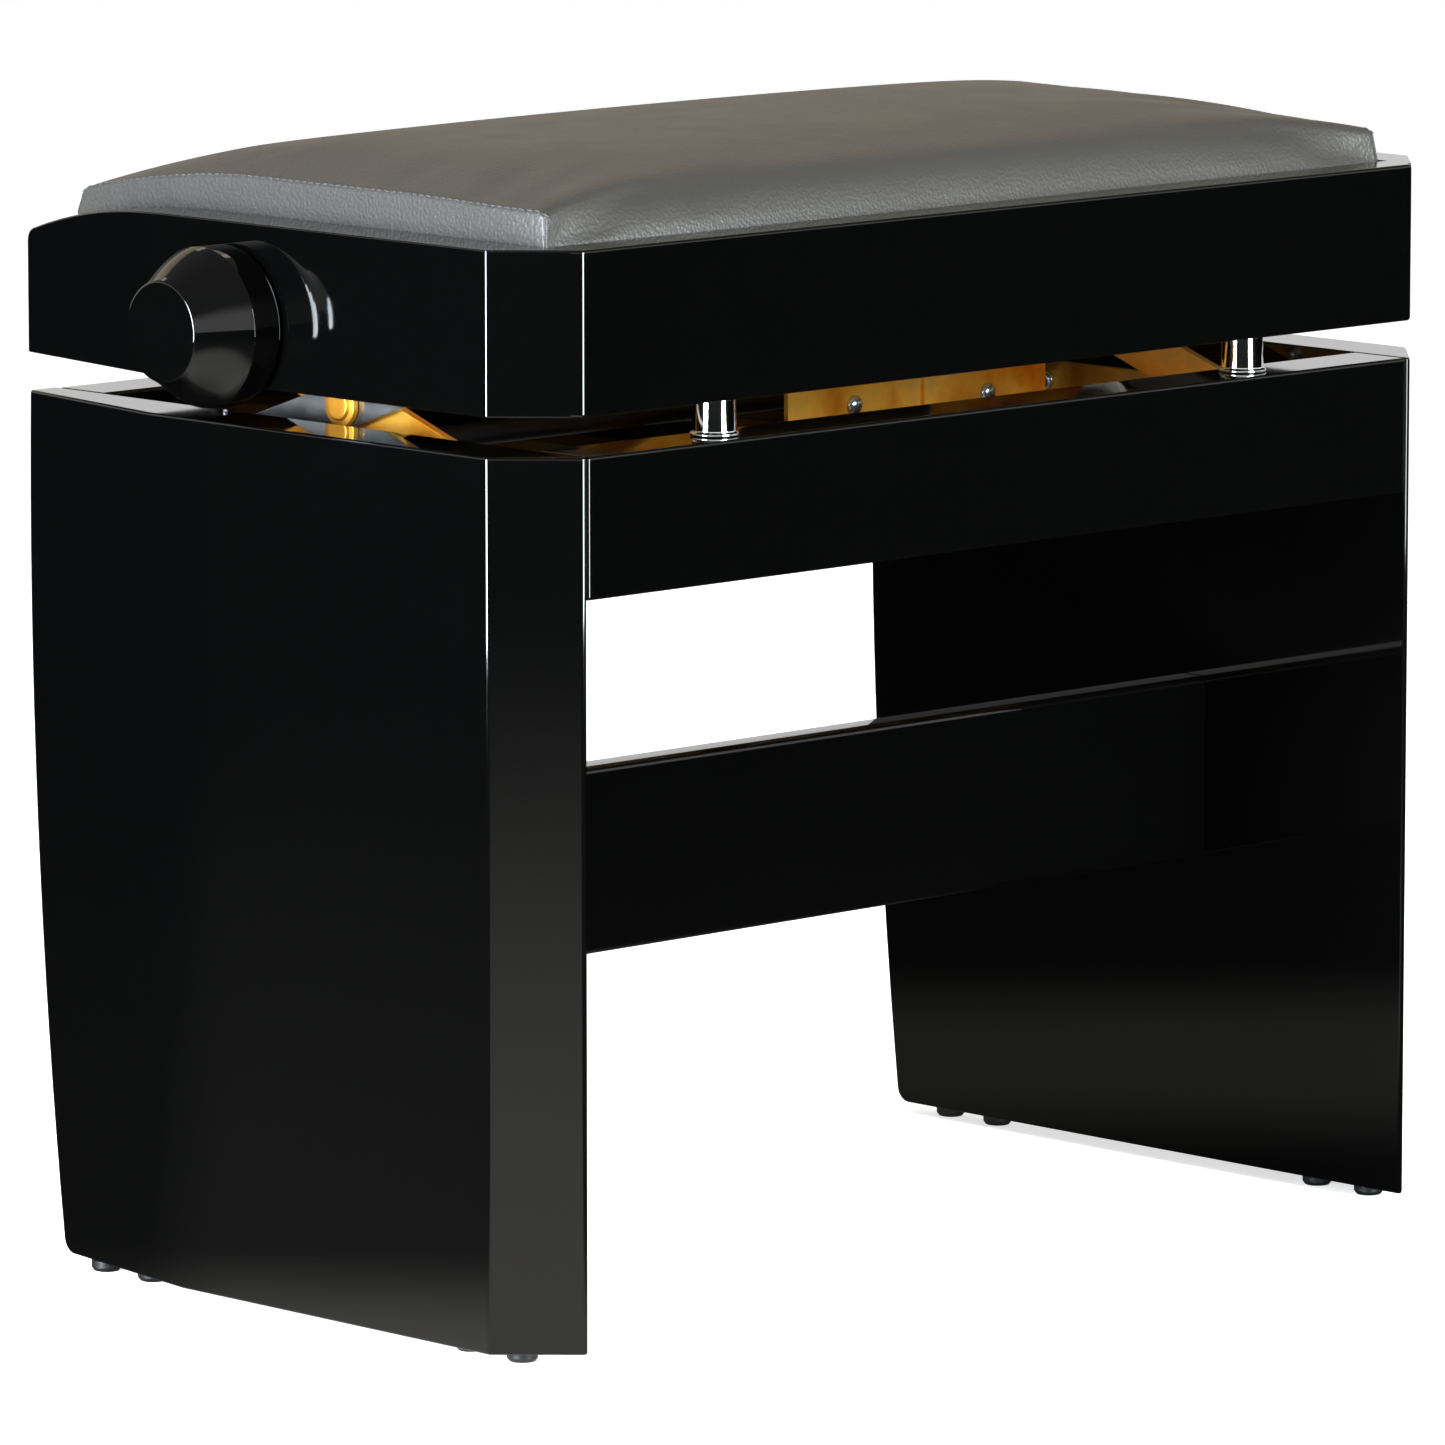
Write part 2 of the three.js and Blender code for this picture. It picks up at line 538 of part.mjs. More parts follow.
const CUSHION = { x: 250, y: 146, bottom: 448.6 };
const EDGE = { z: 475, backZ: 461.6, fallFrom: 35, fallPower: 1.7, dip: 2, dipFrom: 40 };
const CROWN = { shoulder: 90, power: 0.6 }; // the crown rises over this distance from each end

// The cushion's section at y: upright sides, an edge that follows the frame's rim, and a low crown.
function cushionRing(y) {
  const behind = Math.max(0, y - EDGE.fallFrom) / (CUSHION.y - EDGE.fallFrom);
  const ahead = Math.max(0, -y - EDGE.dipFrom) / (CUSHION.y - EDGE.dipFrom);
  const edge = EDGE.z - (EDGE.z - EDGE.backZ) * behind ** EDGE.fallPower - EDGE.dip * ahead ** 2;
  const across = Math.max(0, Math.cos((y / CUSHION.y) * (Math.PI / 2)));
  const crown = (CUSHION_TOP - EDGE.z) * across ** CROWN.power + GAP / 10;
  const half = [[CUSHION.x, CUSHION.bottom], [CUSHION.x, edge]];
  for (const a of steps(0, 1, 5).slice(1)) {
    half.push([CUSHION.x - CROWN.shoulder * a, edge + crown * Math.sin((a * Math.PI) / 2)]);
  }
  const mirrored = [...half].reverse().map(([x, z]) => [-x, z]);
  return [...half, ...mirrored].map(([x, z]) => new THREE.Vector3(x, y, z));
}

for (const [name, side] of SIDES) add(`${name}_seat_end`, seatEnd(side), LACQUER);
add("seat_front_rail", seatFrontRail(), LACQUER);
add("seat_back_rail", seatRail(BACK - 2, BACK - SEAT_RAIL, BACK_RAIL_TOP), LACQUER);
const boardX = SEAT_INNER - 2;
const boardY = CUSHION.y;
add("seat_board", box(-boardX, boardX, -boardY, boardY, BOARD.z0, BOARD.z1), PLYWOOD);
add("cushion", loft(steps(-CUSHION.y, CUSHION.y, 16).map(cushionRing), ["x", "z"]), LEATHER);

export default bench;
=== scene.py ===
"""Adjustable piano bench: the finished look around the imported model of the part.

The file is laid out as an add-on. Each piece or group of like pieces has its own operator, and main
calls them in order. Everything is in metres in the part's own frame: +Z up, the flat front faces -Y,
and the origin is on the floor under the middle of the bench.
"""

import json
import math

import bmesh
import bpy
from mathutils import Matrix, Vector, noise


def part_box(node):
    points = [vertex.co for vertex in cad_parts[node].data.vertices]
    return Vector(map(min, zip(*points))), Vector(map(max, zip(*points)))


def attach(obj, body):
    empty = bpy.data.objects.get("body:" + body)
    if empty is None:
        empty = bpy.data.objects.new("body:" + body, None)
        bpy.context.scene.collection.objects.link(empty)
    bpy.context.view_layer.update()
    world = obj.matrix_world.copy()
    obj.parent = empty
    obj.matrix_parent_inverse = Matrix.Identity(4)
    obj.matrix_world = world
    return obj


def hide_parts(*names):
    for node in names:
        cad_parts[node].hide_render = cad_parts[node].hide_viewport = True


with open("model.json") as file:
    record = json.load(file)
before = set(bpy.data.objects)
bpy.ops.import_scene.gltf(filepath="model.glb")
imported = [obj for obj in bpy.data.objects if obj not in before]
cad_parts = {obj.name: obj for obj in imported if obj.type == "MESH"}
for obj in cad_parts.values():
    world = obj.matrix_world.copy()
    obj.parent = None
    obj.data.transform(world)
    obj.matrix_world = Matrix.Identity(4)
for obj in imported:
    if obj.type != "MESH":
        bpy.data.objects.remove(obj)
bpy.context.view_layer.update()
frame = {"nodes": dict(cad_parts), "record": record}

bl_info = {
    "name": "Adjustable Piano Bench",
    "version": (1, 0, 0),
    "blender": (4, 5, 0),
    "location": "View3D > Sidebar > Piano Bench",
    "description": "Builds the lacquer, leather and metalwork of an adjustable piano bench",
    "category": "Add Mesh",
}

MM = 0.001
LEFT_RIGHT = (("left", -1), ("right", 1))


# ---- Sizes read from the frame ----


def middle(node):
    """The centre of a CAD node's box."""
    low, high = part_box(node)
    return (low + high) / 2


def half_size(node):
    """Half the size of a CAD node's box."""
    low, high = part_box(node)
    return (high - low) / 2


# ---- Node trees ----


def colour(code):
    """An sRGB hex colour as linear red, green, blue and alpha."""
    channels = [int(code[i : i + 2], 16) / 255 for i in (1, 3, 5)]
    linear = [c / 12.92 if c <= 0.04045 else ((c + 0.055) / 1.055) ** 2.4 for c in channels]
    return (*linear, 1.0)


def add_node(tree, kind, inputs=None, stops=None, **settings):
    """Adds a node with its settings. An input is a value, or an output socket to link."""
    made = tree.nodes.new(kind)
    for name, value in settings.items():
        setattr(made, name, value)
    if stops:
        elements = made.color_ramp.elements
        while len(elements) < len(stops):
            elements.new(0.5)
        for element, (position, value) in zip(elements, stops):
            element.position = position
            element.color = value
    for key, value in (inputs or {}).items():
        fill_socket(tree, made.inputs[key], value)
    return made


def fill_socket(tree, socket, value):
    """Sets an input socket, or links it to an output."""
    if isinstance(value, bpy.types.NodeSocket):
        tree.links.new(value, socket)
    else:
        socket.default_value = value


def grey(value):
    """A grey for a colour ramp's stop."""
    return (value, value, value, 1.0)


def empty_material(name):
    """A new material with an empty tree."""
    material = bpy.data.materials.new(name)
    material.use_nodes = True
    material.node_tree.nodes.clear()
    return material, material.node_tree


def start_material(name):
    """A new material with an empty tree, and the Object coordinates that its patterns read."""
    material, tree = empty_material(name)
    return material, tree, add_node(tree, "ShaderNodeTexCoord").outputs["Object"]


def end_material(material, inputs):
    """Ends a material in a Principled shader with these inputs."""
    tree = material.node_tree
    shader = add_node(tree, "ShaderNodeBsdfPrincipled", inputs)
    add_node(tree, "ShaderNodeOutputMaterial", {"Surface": shader.outputs[0]})
    material.diffuse_color = shader.inputs["Base Color"].default_value
    return material


def glowing(material, tint, strength):
    """Ends a material in plain emission."""
    tree = material.node_tree
    glow = add_node(tree, "ShaderNodeEmission", {"Color": tint, "Strength": strength})
    add_node(tree, "ShaderNodeOutputMaterial", {"Surface": glow.outputs[0]})
    return material


def per_metre(millimetres):
    """The scale of a pattern whose features are this many millimetres apart."""
    return 1000 / millimetres


def noise_pattern(tree, where, size, detail, roughness=0.5):
    """A noise node whose features are `size` mm apart."""
    inputs = {"Vector": where, "Scale": per_metre(size), "Detail": detail, "Roughness": roughness}
    return add_node(tree, "ShaderNodeTexNoise", inputs)


def ramp(tree, factor, *stops):
    """The colour that a factor picks from (position, colour) stops."""
    return add_node(tree, "ShaderNodeValToRGB", {"Fac": factor}, stops=list(stops)).outputs["Color"]


def bumped(tree, height, strength, depth):
    """The normal of a surface with this height pattern, `depth` mm deep."""
    inputs = {"Height": height, "Strength": strength, "Distance": depth * MM}
    return add_node(tree, "ShaderNodeBump", inputs).outputs["Normal"]


def mixed(tree, factor, first, second, blend="MIX"):
    """Two colours mixed by a factor."""
    made = add_node(tree, "ShaderNodeMix", {"Factor": factor}, data_type="RGBA", blend_type=blend)
    for socket, value in zip([s for s in made.inputs if s.type == "RGBA"], (first, second)):
        fill_socket(tree, socket, value)
    return next(s for s in made.outputs if s.type == "RGBA")


# ---- Materials ----

# Scales that stretch a pattern into lines along X.
BRUSHED = (0.06, 1.0, 1.0)
FIGURED = (0.08, 1.0, 1.0)


def piano_lacquer(tint):
    """Black polyester lacquer, sprayed thick, sanded and buffed: a deep mirror with faint orange peel."""
    material, tree, where = start_material("buffed_polyester_lacquer")
    haze = noise_pattern(tree, where, 45, 3.0, 0.6).outputs["Fac"]
    peel = noise_pattern(tree, where, 7, 2.0, 0.4).outputs["Fac"]
    inputs = {
        "Base Color": tint,
        "Roughness": ramp(tree, haze, (0.3, grey(0.028)), (0.75, grey(0.06))),
        "IOR": 1.52,
        "Normal": bumped(tree, peel, 0.05, 0.05),
    }
    return end_material(material, inputs)


def grained_leatherette(tint, worn_tint, grain):
    """PVC leatherette, embossed with a pebble grain: dark and satin, paler where it is rubbed."""
    material, tree, where = start_material("embossed_leatherette")
    warp = noise_pattern(tree, where, 9, 2.0).outputs["Color"]
    shift = add_node(
        tree, "ShaderNodeVectorMath", {0: warp, 1: (1.6 * MM, 1.6 * MM, 1.6 * MM)}, operation="MULTIPLY"
    )
    bent = add_node(tree, "ShaderNodeVectorMath", {0: where, 1: shift.outputs[0]}, operation="ADD")
    pebbles = add_node(
        tree,
        "ShaderNodeTexVoronoi",
        {"Vector": bent.outputs[0], "Scale": 1 / grain, "Smoothness": 0.35, "Randomness": 0.9},
        feature="SMOOTH_F1",
    )
    dome = ramp(tree, pebbles.outputs["Distance"], (0.15, grey(1.0)), (0.75, grey(0.0)))
    creases = noise_pattern(tree, where, 26, 4.0, 0.55).outputs["Fac"]
    height = add_node(tree, "ShaderNodeMath", {0: creases, 1: 0.3, 2: dome}, operation="MULTIPLY_ADD")
    wear = noise_pattern(tree, where, 120, 3.0, 0.6).outputs["Fac"]
    inputs = {
        "Base Color": mixed(tree, wear, tint, worn_tint),
        "Roughness": ramp(tree, creases, (0.3, grey(0.44)), (0.7, grey(0.49))),
        "IOR": 1.5,
        "Normal": bumped(tree, height.outputs[0], 0.55, 0.22),
    }
    return end_material(material, inputs)


def metal(name, shades, roughness, patch, brushing, depth):
    """A metal whose colour drifts between shades over `patch` mm, with fine lines `brushing` mm apart."""
    material, tree, where = start_material(name)
    drift = noise_pattern(tree, where, patch, 4.0, 0.6).outputs["Fac"]
    spread = [0.3 + 0.4 * i / (len(shades) - 1) for i in range(len(shades))]
    tone = ramp(tree, drift, *zip(spread, [colour(code) for code in shades]))
    stretch = add_node(tree, "ShaderNodeMapping", {"Vector": where, "Scale": BRUSHED})
    lines = noise_pattern(tree, stretch.outputs[0], brushing, 2.0).outputs["Fac"]
    limits = {"Value": drift, "To Min": roughness * 0.75, "To Max": roughness * 1.3}
    inputs = {
        "Base Color": tone,
        "Metallic": 1.0,
        "Roughness": add_node(tree, "ShaderNodeMapRange", limits).outputs[0],
        "Normal": bumped(tree, lines, 0.3, depth),
    }
    return end_material(material, inputs)


def moulded_plastic(name, code, roughness):
    """Injection moulded plastic: even colour with a fine matt texture."""
    material, tree, where = start_material(name)
    texture = noise_pattern(tree, where, 0.8, 2.0).outputs["Fac"]
    inputs = {
        "Base Color": colour(code),
        "Roughness": roughness,
        "IOR": 1.49,
        "Normal": bumped(tree, texture, 0.3, 0.04),
    }
    return end_material(material, inputs)


def birch_plywood():
    """Rotary cut birch plywood: pale faces with long figure, and darker glue lines 1.4 mm apart."""
    material, tree, where = start_material("birch_plywood")
    stretch = add_node(tree, "ShaderNodeMapping", {"Vector": where, "Scale": FIGURED})
    figure = noise_pattern(tree, stretch.outputs[0], 6, 6.0, 0.6).outputs["Fac"]
    tone = ramp(tree, figure, (0.3, colour("#b18a58")), (0.7, colour("#d8b785")))
    # A wave texture's scale is a twentieth of its bands per unit.
    plies = add_node(
        tree,
        "ShaderNodeTexWave",
        {"Vector": where, "Scale": per_metre(1.4) / 20, "Distortion": 0.3, "Detail": 1.0},
        bands_direction="Z",
    )
    inputs = {
        "Base Color": mixed(tree, 0.35, tone, plies.outputs["Color"], "MULTIPLY"),
        "Roughness": 0.62,
        "IOR": 1.5,
        "Normal": bumped(tree, figure, 0.3, 0.1),
    }
    return end_material(material, inputs)


def twisted_thread():
    """Bonded polyester sewing thread: black with a soft shine on the twist."""
    material, tree, where = start_material("bonded_sewing_thread")
    twist = noise_pattern(tree, where, 0.5, 1.0).outputs["Fac"]
    inputs = {
        "Base Color": colour("#1e1f1f"),
        "Roughness": 0.5,
        "IOR": 1.55,
        "Sheen Weight": 0.3,
        "Normal": bumped(tree, twist, 0.5, 0.1),
    }
    return end_material(material, inputs)


MATERIALS = {}


def materials():
    """The finishes, made once, by the name of the record's slot or of the extra piece that wears them."""
    if not MATERIALS:
        look = bpy.context.scene.piano_bench_finish
        lacquer = piano_lacquer((*look.lacquer, 1.0))
        MATERIALS.update(
            black_lacquer=lacquer,
            knob_lacquer=lacquer,
            leather=grained_leatherette((*look.leather, 1.0), (*look.leather_worn, 1.0), look.grain),
            plywood=birch_plywood(),
            # Yellow chromate over zinc: amber that drifts to olive and brown where the bath ran.
            zinc_steel=metal(
                "yellow_chromated_zinc", ["#c2661c", "#e8982a", "#f5b94a", "#dcae55"], 0.44, 42, 0.9, 0.02
            ),
            # Black oxide over drawn bar: dark and faintly blue, and kept this dark as painted shade, so
            # that the rods read as dark as the shaded gap under the seat.
            dark_steel=metal("blackened_steel_and_painted_shade", ["#26262a", "#333337"], 0.42, 25, 0.6, 0.02),
            # Clear zinc on drawn bar: cool, slightly blue, with lines along it.
            steel=metal("clear_zinc_plated_bar", ["#aab3ba", "#c6ccd0"], 0.24, 20, 0.6, 0.02),
            # Chrome over polished nickel: almost a mirror.
            chrome=metal("polished_chrome", ["#dfe1e3", "#eceded"], 0.045, 30, 2.0, 0.002),
            brass=metal("machined_brass", ["#b08a3c", "#c7a14c"], 0.28, 15, 0.5, 0.02),
            foot_plastic=moulded_plastic("black_polyethylene", "#141416", 0.42),
            nylon=moulded_plastic("natural_nylon", "#dedccf", 0.48),
            thread=twisted_thread(),
        )
    return MATERIALS


# ---- Meshes ----


def new_object(name, mesh):
    """Links a new object that holds the mesh."""
    made = bpy.data.objects.new(name, mesh)
    bpy.context.scene.collection.objects.link(made)
    return made


def mesh_from(name, build):
    """A mesh object from a bmesh that `build` fills."""
    shape = bmesh.new()
    build(shape)
    mesh = bpy.data.meshes.new(name)
    shape.to_mesh(mesh)
    shape.free()
    return new_object(name, mesh)


def make_plain(piece):
    """Turns what the piece's modifiers make into its own mesh, and takes the modifiers off."""
    depsgraph = bpy.context.evaluated_depsgraph_get()
    piece.data = bpy.data.meshes.new_from_object(piece.evaluated_get(depsgraph), depsgraph=depsgraph)
    piece.modifiers.clear()
    return piece


def smooth(piece, sharp_degrees=32):
    """Smooth shading, with edges sharper than this angle kept crisp."""
    piece.data.shade_smooth()
    piece.data.set_sharp_from_angle(angle=math.radians(sharp_degrees))
    return piece


def dress(piece, slot, body, *nodes):
    """Gives a piece its finish, its body and the CAD nodes that it stands for."""
    piece.data.materials.clear()
    piece.data.materials.append(materials()[slot])
    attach(piece, body)
    if nodes:
        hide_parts(*nodes)
    return piece


def body_of(node):
    """The CAD body that a node belongs to."""
    groups = frame["record"]["behaviour"]["bodies"]
    return next(body for body, members in groups.items() if node in members)


def slot_of(node):
    """The material slot that the record gives a node."""
    return next(entry["material_slot"] for entry in frame["record"]["subparts"] if entry["node"] == node)


def close_joint(shape, joint):
    """Slides corners along their own edges up to the plane |x| = joint, where two boards are glued."""
    for vert in shape.verts:
        x = vert.co.x
        if not 0.01 * MM < abs(abs(x) - joint) < 1.5 * MM:
            continue
        others = [edge.other_vert(vert).co.copy() for edge in vert.link_edges]
        far = max(others, key=lambda other: abs(other.x - x))
        vert.co += (vert.co - far) * (math.copysign(joint, x) - x) / (x - far.x)


def eased(node, radius, segments=3, angle=25, joint=None):
    """A copy of a CAD node with its arrises rounded over, as sanding or deburring leaves them. Edges
    that lie in the plane |x| = joint meet another board, so they stay sharp."""
    shape = bmesh.new()
    shape.from_mesh(frame["nodes"][node].data)
    bmesh.ops.remove_doubles(shape, verts=shape.verts, dist=0.01 * MM)
    bmesh.ops.dissolve_limit(
        shape, angle_limit=math.radians(0.1), verts=shape.verts, edges=shape.edges,
        use_dissolve_boundaries=False,
    )
    if joint is not None:
        close_joint(shape, joint)
    weights = shape.edges.layers.float.new("bevel_weight_edge")
    for edge in shape.edges:
        crisp = edge.calc_face_angle(0) > math.radians(angle)
        tight = joint is not None and all(abs(abs(vert.co.x) - joint) < 0.5 * MM for vert in edge.verts)
        edge[weights] = 1.0 if crisp and not tight else 0.0
        edge.smooth = not (crisp and tight)
    for face in shape.faces:
        face.smooth = True
    mesh = bpy.data.meshes.new(f"{node}_shape")
    shape.to_mesh(mesh)
    shape.free()
    # The import's own normals belong to the faces that were just merged.
    mesh.attributes.remove(mesh.attributes["custom_normal"])
    piece = new_object(f"{node}_finished", mesh)
    bevel = piece.modifiers.new("arrises", "BEVEL")
    bevel.width = radius
    bevel.segments = segments
    bevel.limit_method = "WEIGHT"
    bevel.use_clamp_overlap = True
    bevel.harden_normals = True
    make_plain(piece)
    return dress(piece, slot_of(node), body_of(node), node)


def braced(profile, near=0.12 * MM):
    """The profile with a point close to both ends of each long line, which keeps its shading straight."""
    made = [profile[0]]
    for start, end in zip(profile, profile[1:]):
        line = Vector(end) - Vector(start)
        if line.length > 8 * near:
            step = line.normalized() * near
            made += [tuple(Vector(start) + step), tuple(Vector(end) - step)]
        made.append(end)
    return made


def turned(name, profile, axis, centre, segments=48):
    """A solid of revolution about X, Y or Z from (radius, distance along the axis) points."""
    along = "XYZ".index(axis)
    first, second = [i for i in range(3) if i != along]

    def build(shape):
        rings = []
        for radius, distance in braced(profile):
            count = 1 if radius < 1e-7 else segments
            ring = []
            for i in range(count):
                turn = 2 * math.pi * i / segments
                place = [0.0, 0.0, 0.0]
                place[along] = distance
                place[first] = radius * math.cos(turn)
                place[second] = radius * math.sin(turn)
                ring.append(shape.verts.new(Vector(place) + Vector(centre)))
            rings.append(ring)
        for low, high in zip(rings, rings[1:]):
            for i in range(segments):
                j = i + 1
                corners = (low[i % len(low)], low[j % len(low)], high[j % len(high)], high[i % len(high)])
                unique = list(dict.fromkeys(corners))
                if len(unique) > 2:
                    shape.faces.new(unique)
        bmesh.ops.remove_doubles(shape, verts=shape.verts, dist=1e-7)
        bmesh.ops.recalc_face_normals(shape, faces=shape.faces)

    return mesh_from(name, build)


def lathe(node, outline, axis, segments=48, sharp_degrees=32):
    """Turns a node's finished piece about an axis through the middle of its box, and dresses it."""
    centre = middle(node)
    centre["XYZ".index(axis)] = 0
    piece = turned(f"{node}_finished", outline, axis, centre, segments)
    return dress(smooth(piece, sharp_degrees), slot_of(node), body_of(node), node)


def rounded(profile, corners, steps=5):
    """A profile with some of its corners replaced by arcs: `corners` gives point index -> radius."""
    made = []
    for i, point in enumerate(profile):
        radius = corners.get(i, 0)
        if not radius:
            made.append(point)
            continue
        here = Vector(point)
        before = (Vector(profile[i - 1]) - here).normalized()
        after = (Vector(profile[i + 1]) - here).normalized()
        half = before.angle(after) / 2
        reach = radius / math.tan(half)
        centre = here + (before + after).normalized() * (radius / math.sin(half))
        start = here + before * reach - centre
        end = here + after * reach - centre
        for k in range(steps + 1):
            share = k / steps
            arm = start.normalized().slerp(end.normalized(), share) * radius
            made.append(tuple(centre + arm))
    return made


# ---- Geometry node trees ----


def new_tree(name, sockets):
    """A geometry node tree with its group input and output and the named inputs."""
    tree = bpy.data.node_groups.new(name, "GeometryNodeTree")
    tree.interface.new_socket("Geometry", in_out="INPUT", socket_type="NodeSocketGeometry")
    for label, kind in sockets:
        tree.interface.new_socket(label, in_out="INPUT", socket_type=f"NodeSocket{kind}")
    tree.interface.new_socket("Geometry", in_out="OUTPUT", socket_type="NodeSocketGeometry")
    return tree, add_node(tree, "NodeGroupInput").outputs


def close_tree(tree, geometry, finish):
    """Ends a tree in Realize Instances and Set Material."""
    real = add_node(tree, "GeometryNodeRealizeInstances", {"Geometry": geometry})
    dressed = add_node(tree, "GeometryNodeSetMaterial", {"Geometry": real.outputs[0], "Material": finish})
    add_node(tree, "NodeGroupOutput", {"Geometry": dressed.outputs[0]})
    return tree


def run_tree(piece, tree, values):
    """Runs a tree on a piece with its inputs set by identifier, and keeps the plain mesh it makes."""
    modifier = piece.modifiers.new(tree.name, "NODES")
    modifier.node_group = tree
    for item in tree.interface.items_tree:
        if item.item_type == "SOCKET" and item.in_out == "INPUT" and item.name in values:
            modifier[item.identifier] = values[item.name]
    return make_plain(piece)


def fasteners_tree():
    """Sets a copy of the template on every point, its top along the point's `facing`, turned at random."""
    tree, given = new_tree("fasteners", [("Template", "Object"), ("Finish", "Material"), ("Seed", "Int")])
    template = add_node(tree, "GeometryNodeObjectInfo", {"Object": given["Template"]})
    facing = add_node(tree, "GeometryNodeInputNamedAttribute", {"Name": "facing"}, data_type="FLOAT_VECTOR")
    turn = add_node(tree, "FunctionNodeRandomValue", {"Seed": given["Seed"]}, data_type="FLOAT")
    angle = add_node(tree, "ShaderNodeMath", {0: turn.outputs[1], 1: math.tau}, operation="MULTIPLY")
    spin = add_node(tree, "ShaderNodeCombineXYZ", {"Z": angle.outputs[0]})
    aim = add_node(tree, "FunctionNodeAlignRotationToVector", {"Vector": facing.outputs[0]}, axis="Z")
    inputs = {
        "Points": given["Geometry"], "Instance": template.outputs["Geometry"], "Rotation": aim.outputs[0],
    }
    placed = add_node(tree, "GeometryNodeInstanceOnPoints", inputs).outputs[0]
    inputs = {"Instances": placed, "Rotation": spin.outputs[0], "Local Space": True}
    spun = add_node(tree, "GeometryNodeRotateInstances", inputs).outputs[0]
    return close_tree(tree, spun, given["Finish"])


def seam_tree():
    """Sews a path: a row of stitches, each a long bead laid along it."""
    sockets = [("Stitch Pitch", "Float"), ("Stitch Length", "Float"), ("Stitch Radius", "Float")]
    tree, given = new_tree("seam", [*sockets, ("Finish", "Material")])
    path = add_node(tree, "GeometryNodeMeshToCurve", {"Mesh": given["Geometry"]})
    inputs = {"Curve": path.outputs[0], "Length": given["Stitch Pitch"]}
    beads = add_node(tree, "GeometryNodeResampleCurve", inputs, mode="LENGTH")
    bead = add_node(tree, "GeometryNodeMeshUVSphere", {"Segments": 8, "Rings": 6, "Radius": 1.0})
    tangent = add_node(tree, "GeometryNodeInputTangent")
    aim = add_node(tree, "FunctionNodeAlignRotationToVector", {"Vector": tangent.outputs[0]}, axis="X")
    half = add_node(tree, "ShaderNodeMath", {0: given["Stitch Length"], 1: 0.5}, operation="MULTIPLY")
    inputs = {"X": half.outputs[0], "Y": given["Stitch Radius"], "Z": given["Stitch Radius"]}
    size = add_node(tree, "ShaderNodeCombineXYZ", inputs)
    inputs = {
        "Points": beads.outputs[0], "Instance": bead.outputs["Mesh"], "Rotation": aim.outputs[0],
        "Scale": size.outputs[0],
    }
    placed = add_node(tree, "GeometryNodeInstanceOnPoints", inputs).outputs[0]
    return close_tree(tree, placed, given["Finish"])


def thread_tree():
    """Cuts a thread into a plain rod along X, over the stretch between From and To."""
    sockets = [(name, "Float") for name in ("Radius", "Depth", "Pitch", "Starts", "From", "To")]
    tree, given = new_tree("leadscrew", [*sockets, ("Finish", "Material")])

    def calc(operation, first, second=None, third=None):
        inputs = {i: value for i, value in enumerate((first, second, third)) if value is not None}
        return add_node(tree, "ShaderNodeMath", inputs, operation=operation).outputs[0]

    place = add_node(tree, "GeometryNodeInputPosition")
    axes = add_node(tree, "ShaderNodeSeparateXYZ", {0: place.outputs[0]})
    x, y, z = axes.outputs
    turn = calc("DIVIDE", calc("ARCTAN2", z, y), math.tau)
    phase = calc("SUBTRACT", calc("DIVIDE", x, given["Pitch"]), calc("MULTIPLY", turn, given["Starts"]))
    wave = calc("MULTIPLY_ADD", calc("COSINE", calc("MULTIPLY", phase, math.tau)), 0.5, 0.5)
    groove = calc("SMOOTH_MIN", calc("MULTIPLY", wave, 1.6), 1.0, 0.3)
    rise_in = calc("GREATER_THAN", x, given["From"])
    fall_out = calc("LESS_THAN", x, given["To"])
    cut = calc("MULTIPLY", calc("MULTIPLY", groove, calc("MULTIPLY", rise_in, fall_out)), given["Depth"])
    scale = calc("SUBTRACT", 1.0, calc("DIVIDE", cut, given["Radius"]))
    inputs = {"X": x, "Y": calc("MULTIPLY", y, scale), "Z": calc("MULTIPLY", z, scale)}
    moved = add_node(tree, "ShaderNodeCombineXYZ", inputs).outputs[0]
    inputs = {"Geometry": given["Geometry"], "Position": moved}
    shaped = add_node(tree, "GeometryNodeSetPosition", inputs).outputs[0]
    return close_tree(tree, shaped, given["Finish"])


# ---- Settings ----


class PianoBenchSizes(bpy.types.PropertyGroup):
    """Sizes that a maker would change."""

    lacquer_arris: bpy.props.FloatProperty(
        name="Lacquer arris", description="Radius of the rounded edges of the lacquered boards",
        default=1.4 * MM, unit="LENGTH",
    )
    sheet_arris: bpy.props.FloatProperty(
        name="Sheet arris", description="Radius of the deburred edges of the pressed steel",
        default=0.35 * MM, unit="LENGTH",
    )
    cushion_swell: bpy.props.FloatProperty(
        name="Cushion swell", description="The furthest that the padding may push the leather out",
        default=5 * MM, unit="LENGTH",
    )
    stitch_pitch: bpy.props.FloatProperty(
        name="Stitch pitch", description="Distance from stitch to stitch along the seams",
        default=4.2 * MM, unit="LENGTH",
    )
    thread_pitch: bpy.props.FloatProperty(
        name="Thread pitch", description="Distance between the spindle's thread crests",
        default=3 * MM, unit="LENGTH",
    )


class PianoBenchFinish(bpy.types.PropertyGroup):
    """Colours and grain that a maker would change."""

    lacquer: bpy.props.FloatVectorProperty(
        name="Lacquer", description="Colour of the piano lacquer", subtype="COLOR",
        default=colour("#020202")[:3], min=0, max=1,
    )
    leather: bpy.props.FloatVectorProperty(
        name="Leather", description="Colour of the leatherette", subtype="COLOR",
        default=colour("#292826")[:3], min=0, max=1,
    )
    leather_worn: bpy.props.FloatVectorProperty(
        name="Leather, worn", description="Colour where the leatherette is rubbed", subtype="COLOR",
        default=colour("#312f2c")[:3], min=0, max=1,
    )
    grain: bpy.props.FloatProperty(
        name="Leather grain", description="Size of one pebble of the embossed grain, drawn a little coarse",
        default=1.7 * MM, unit="LENGTH",
    )


# ---- Operators: the lacquered boards ----


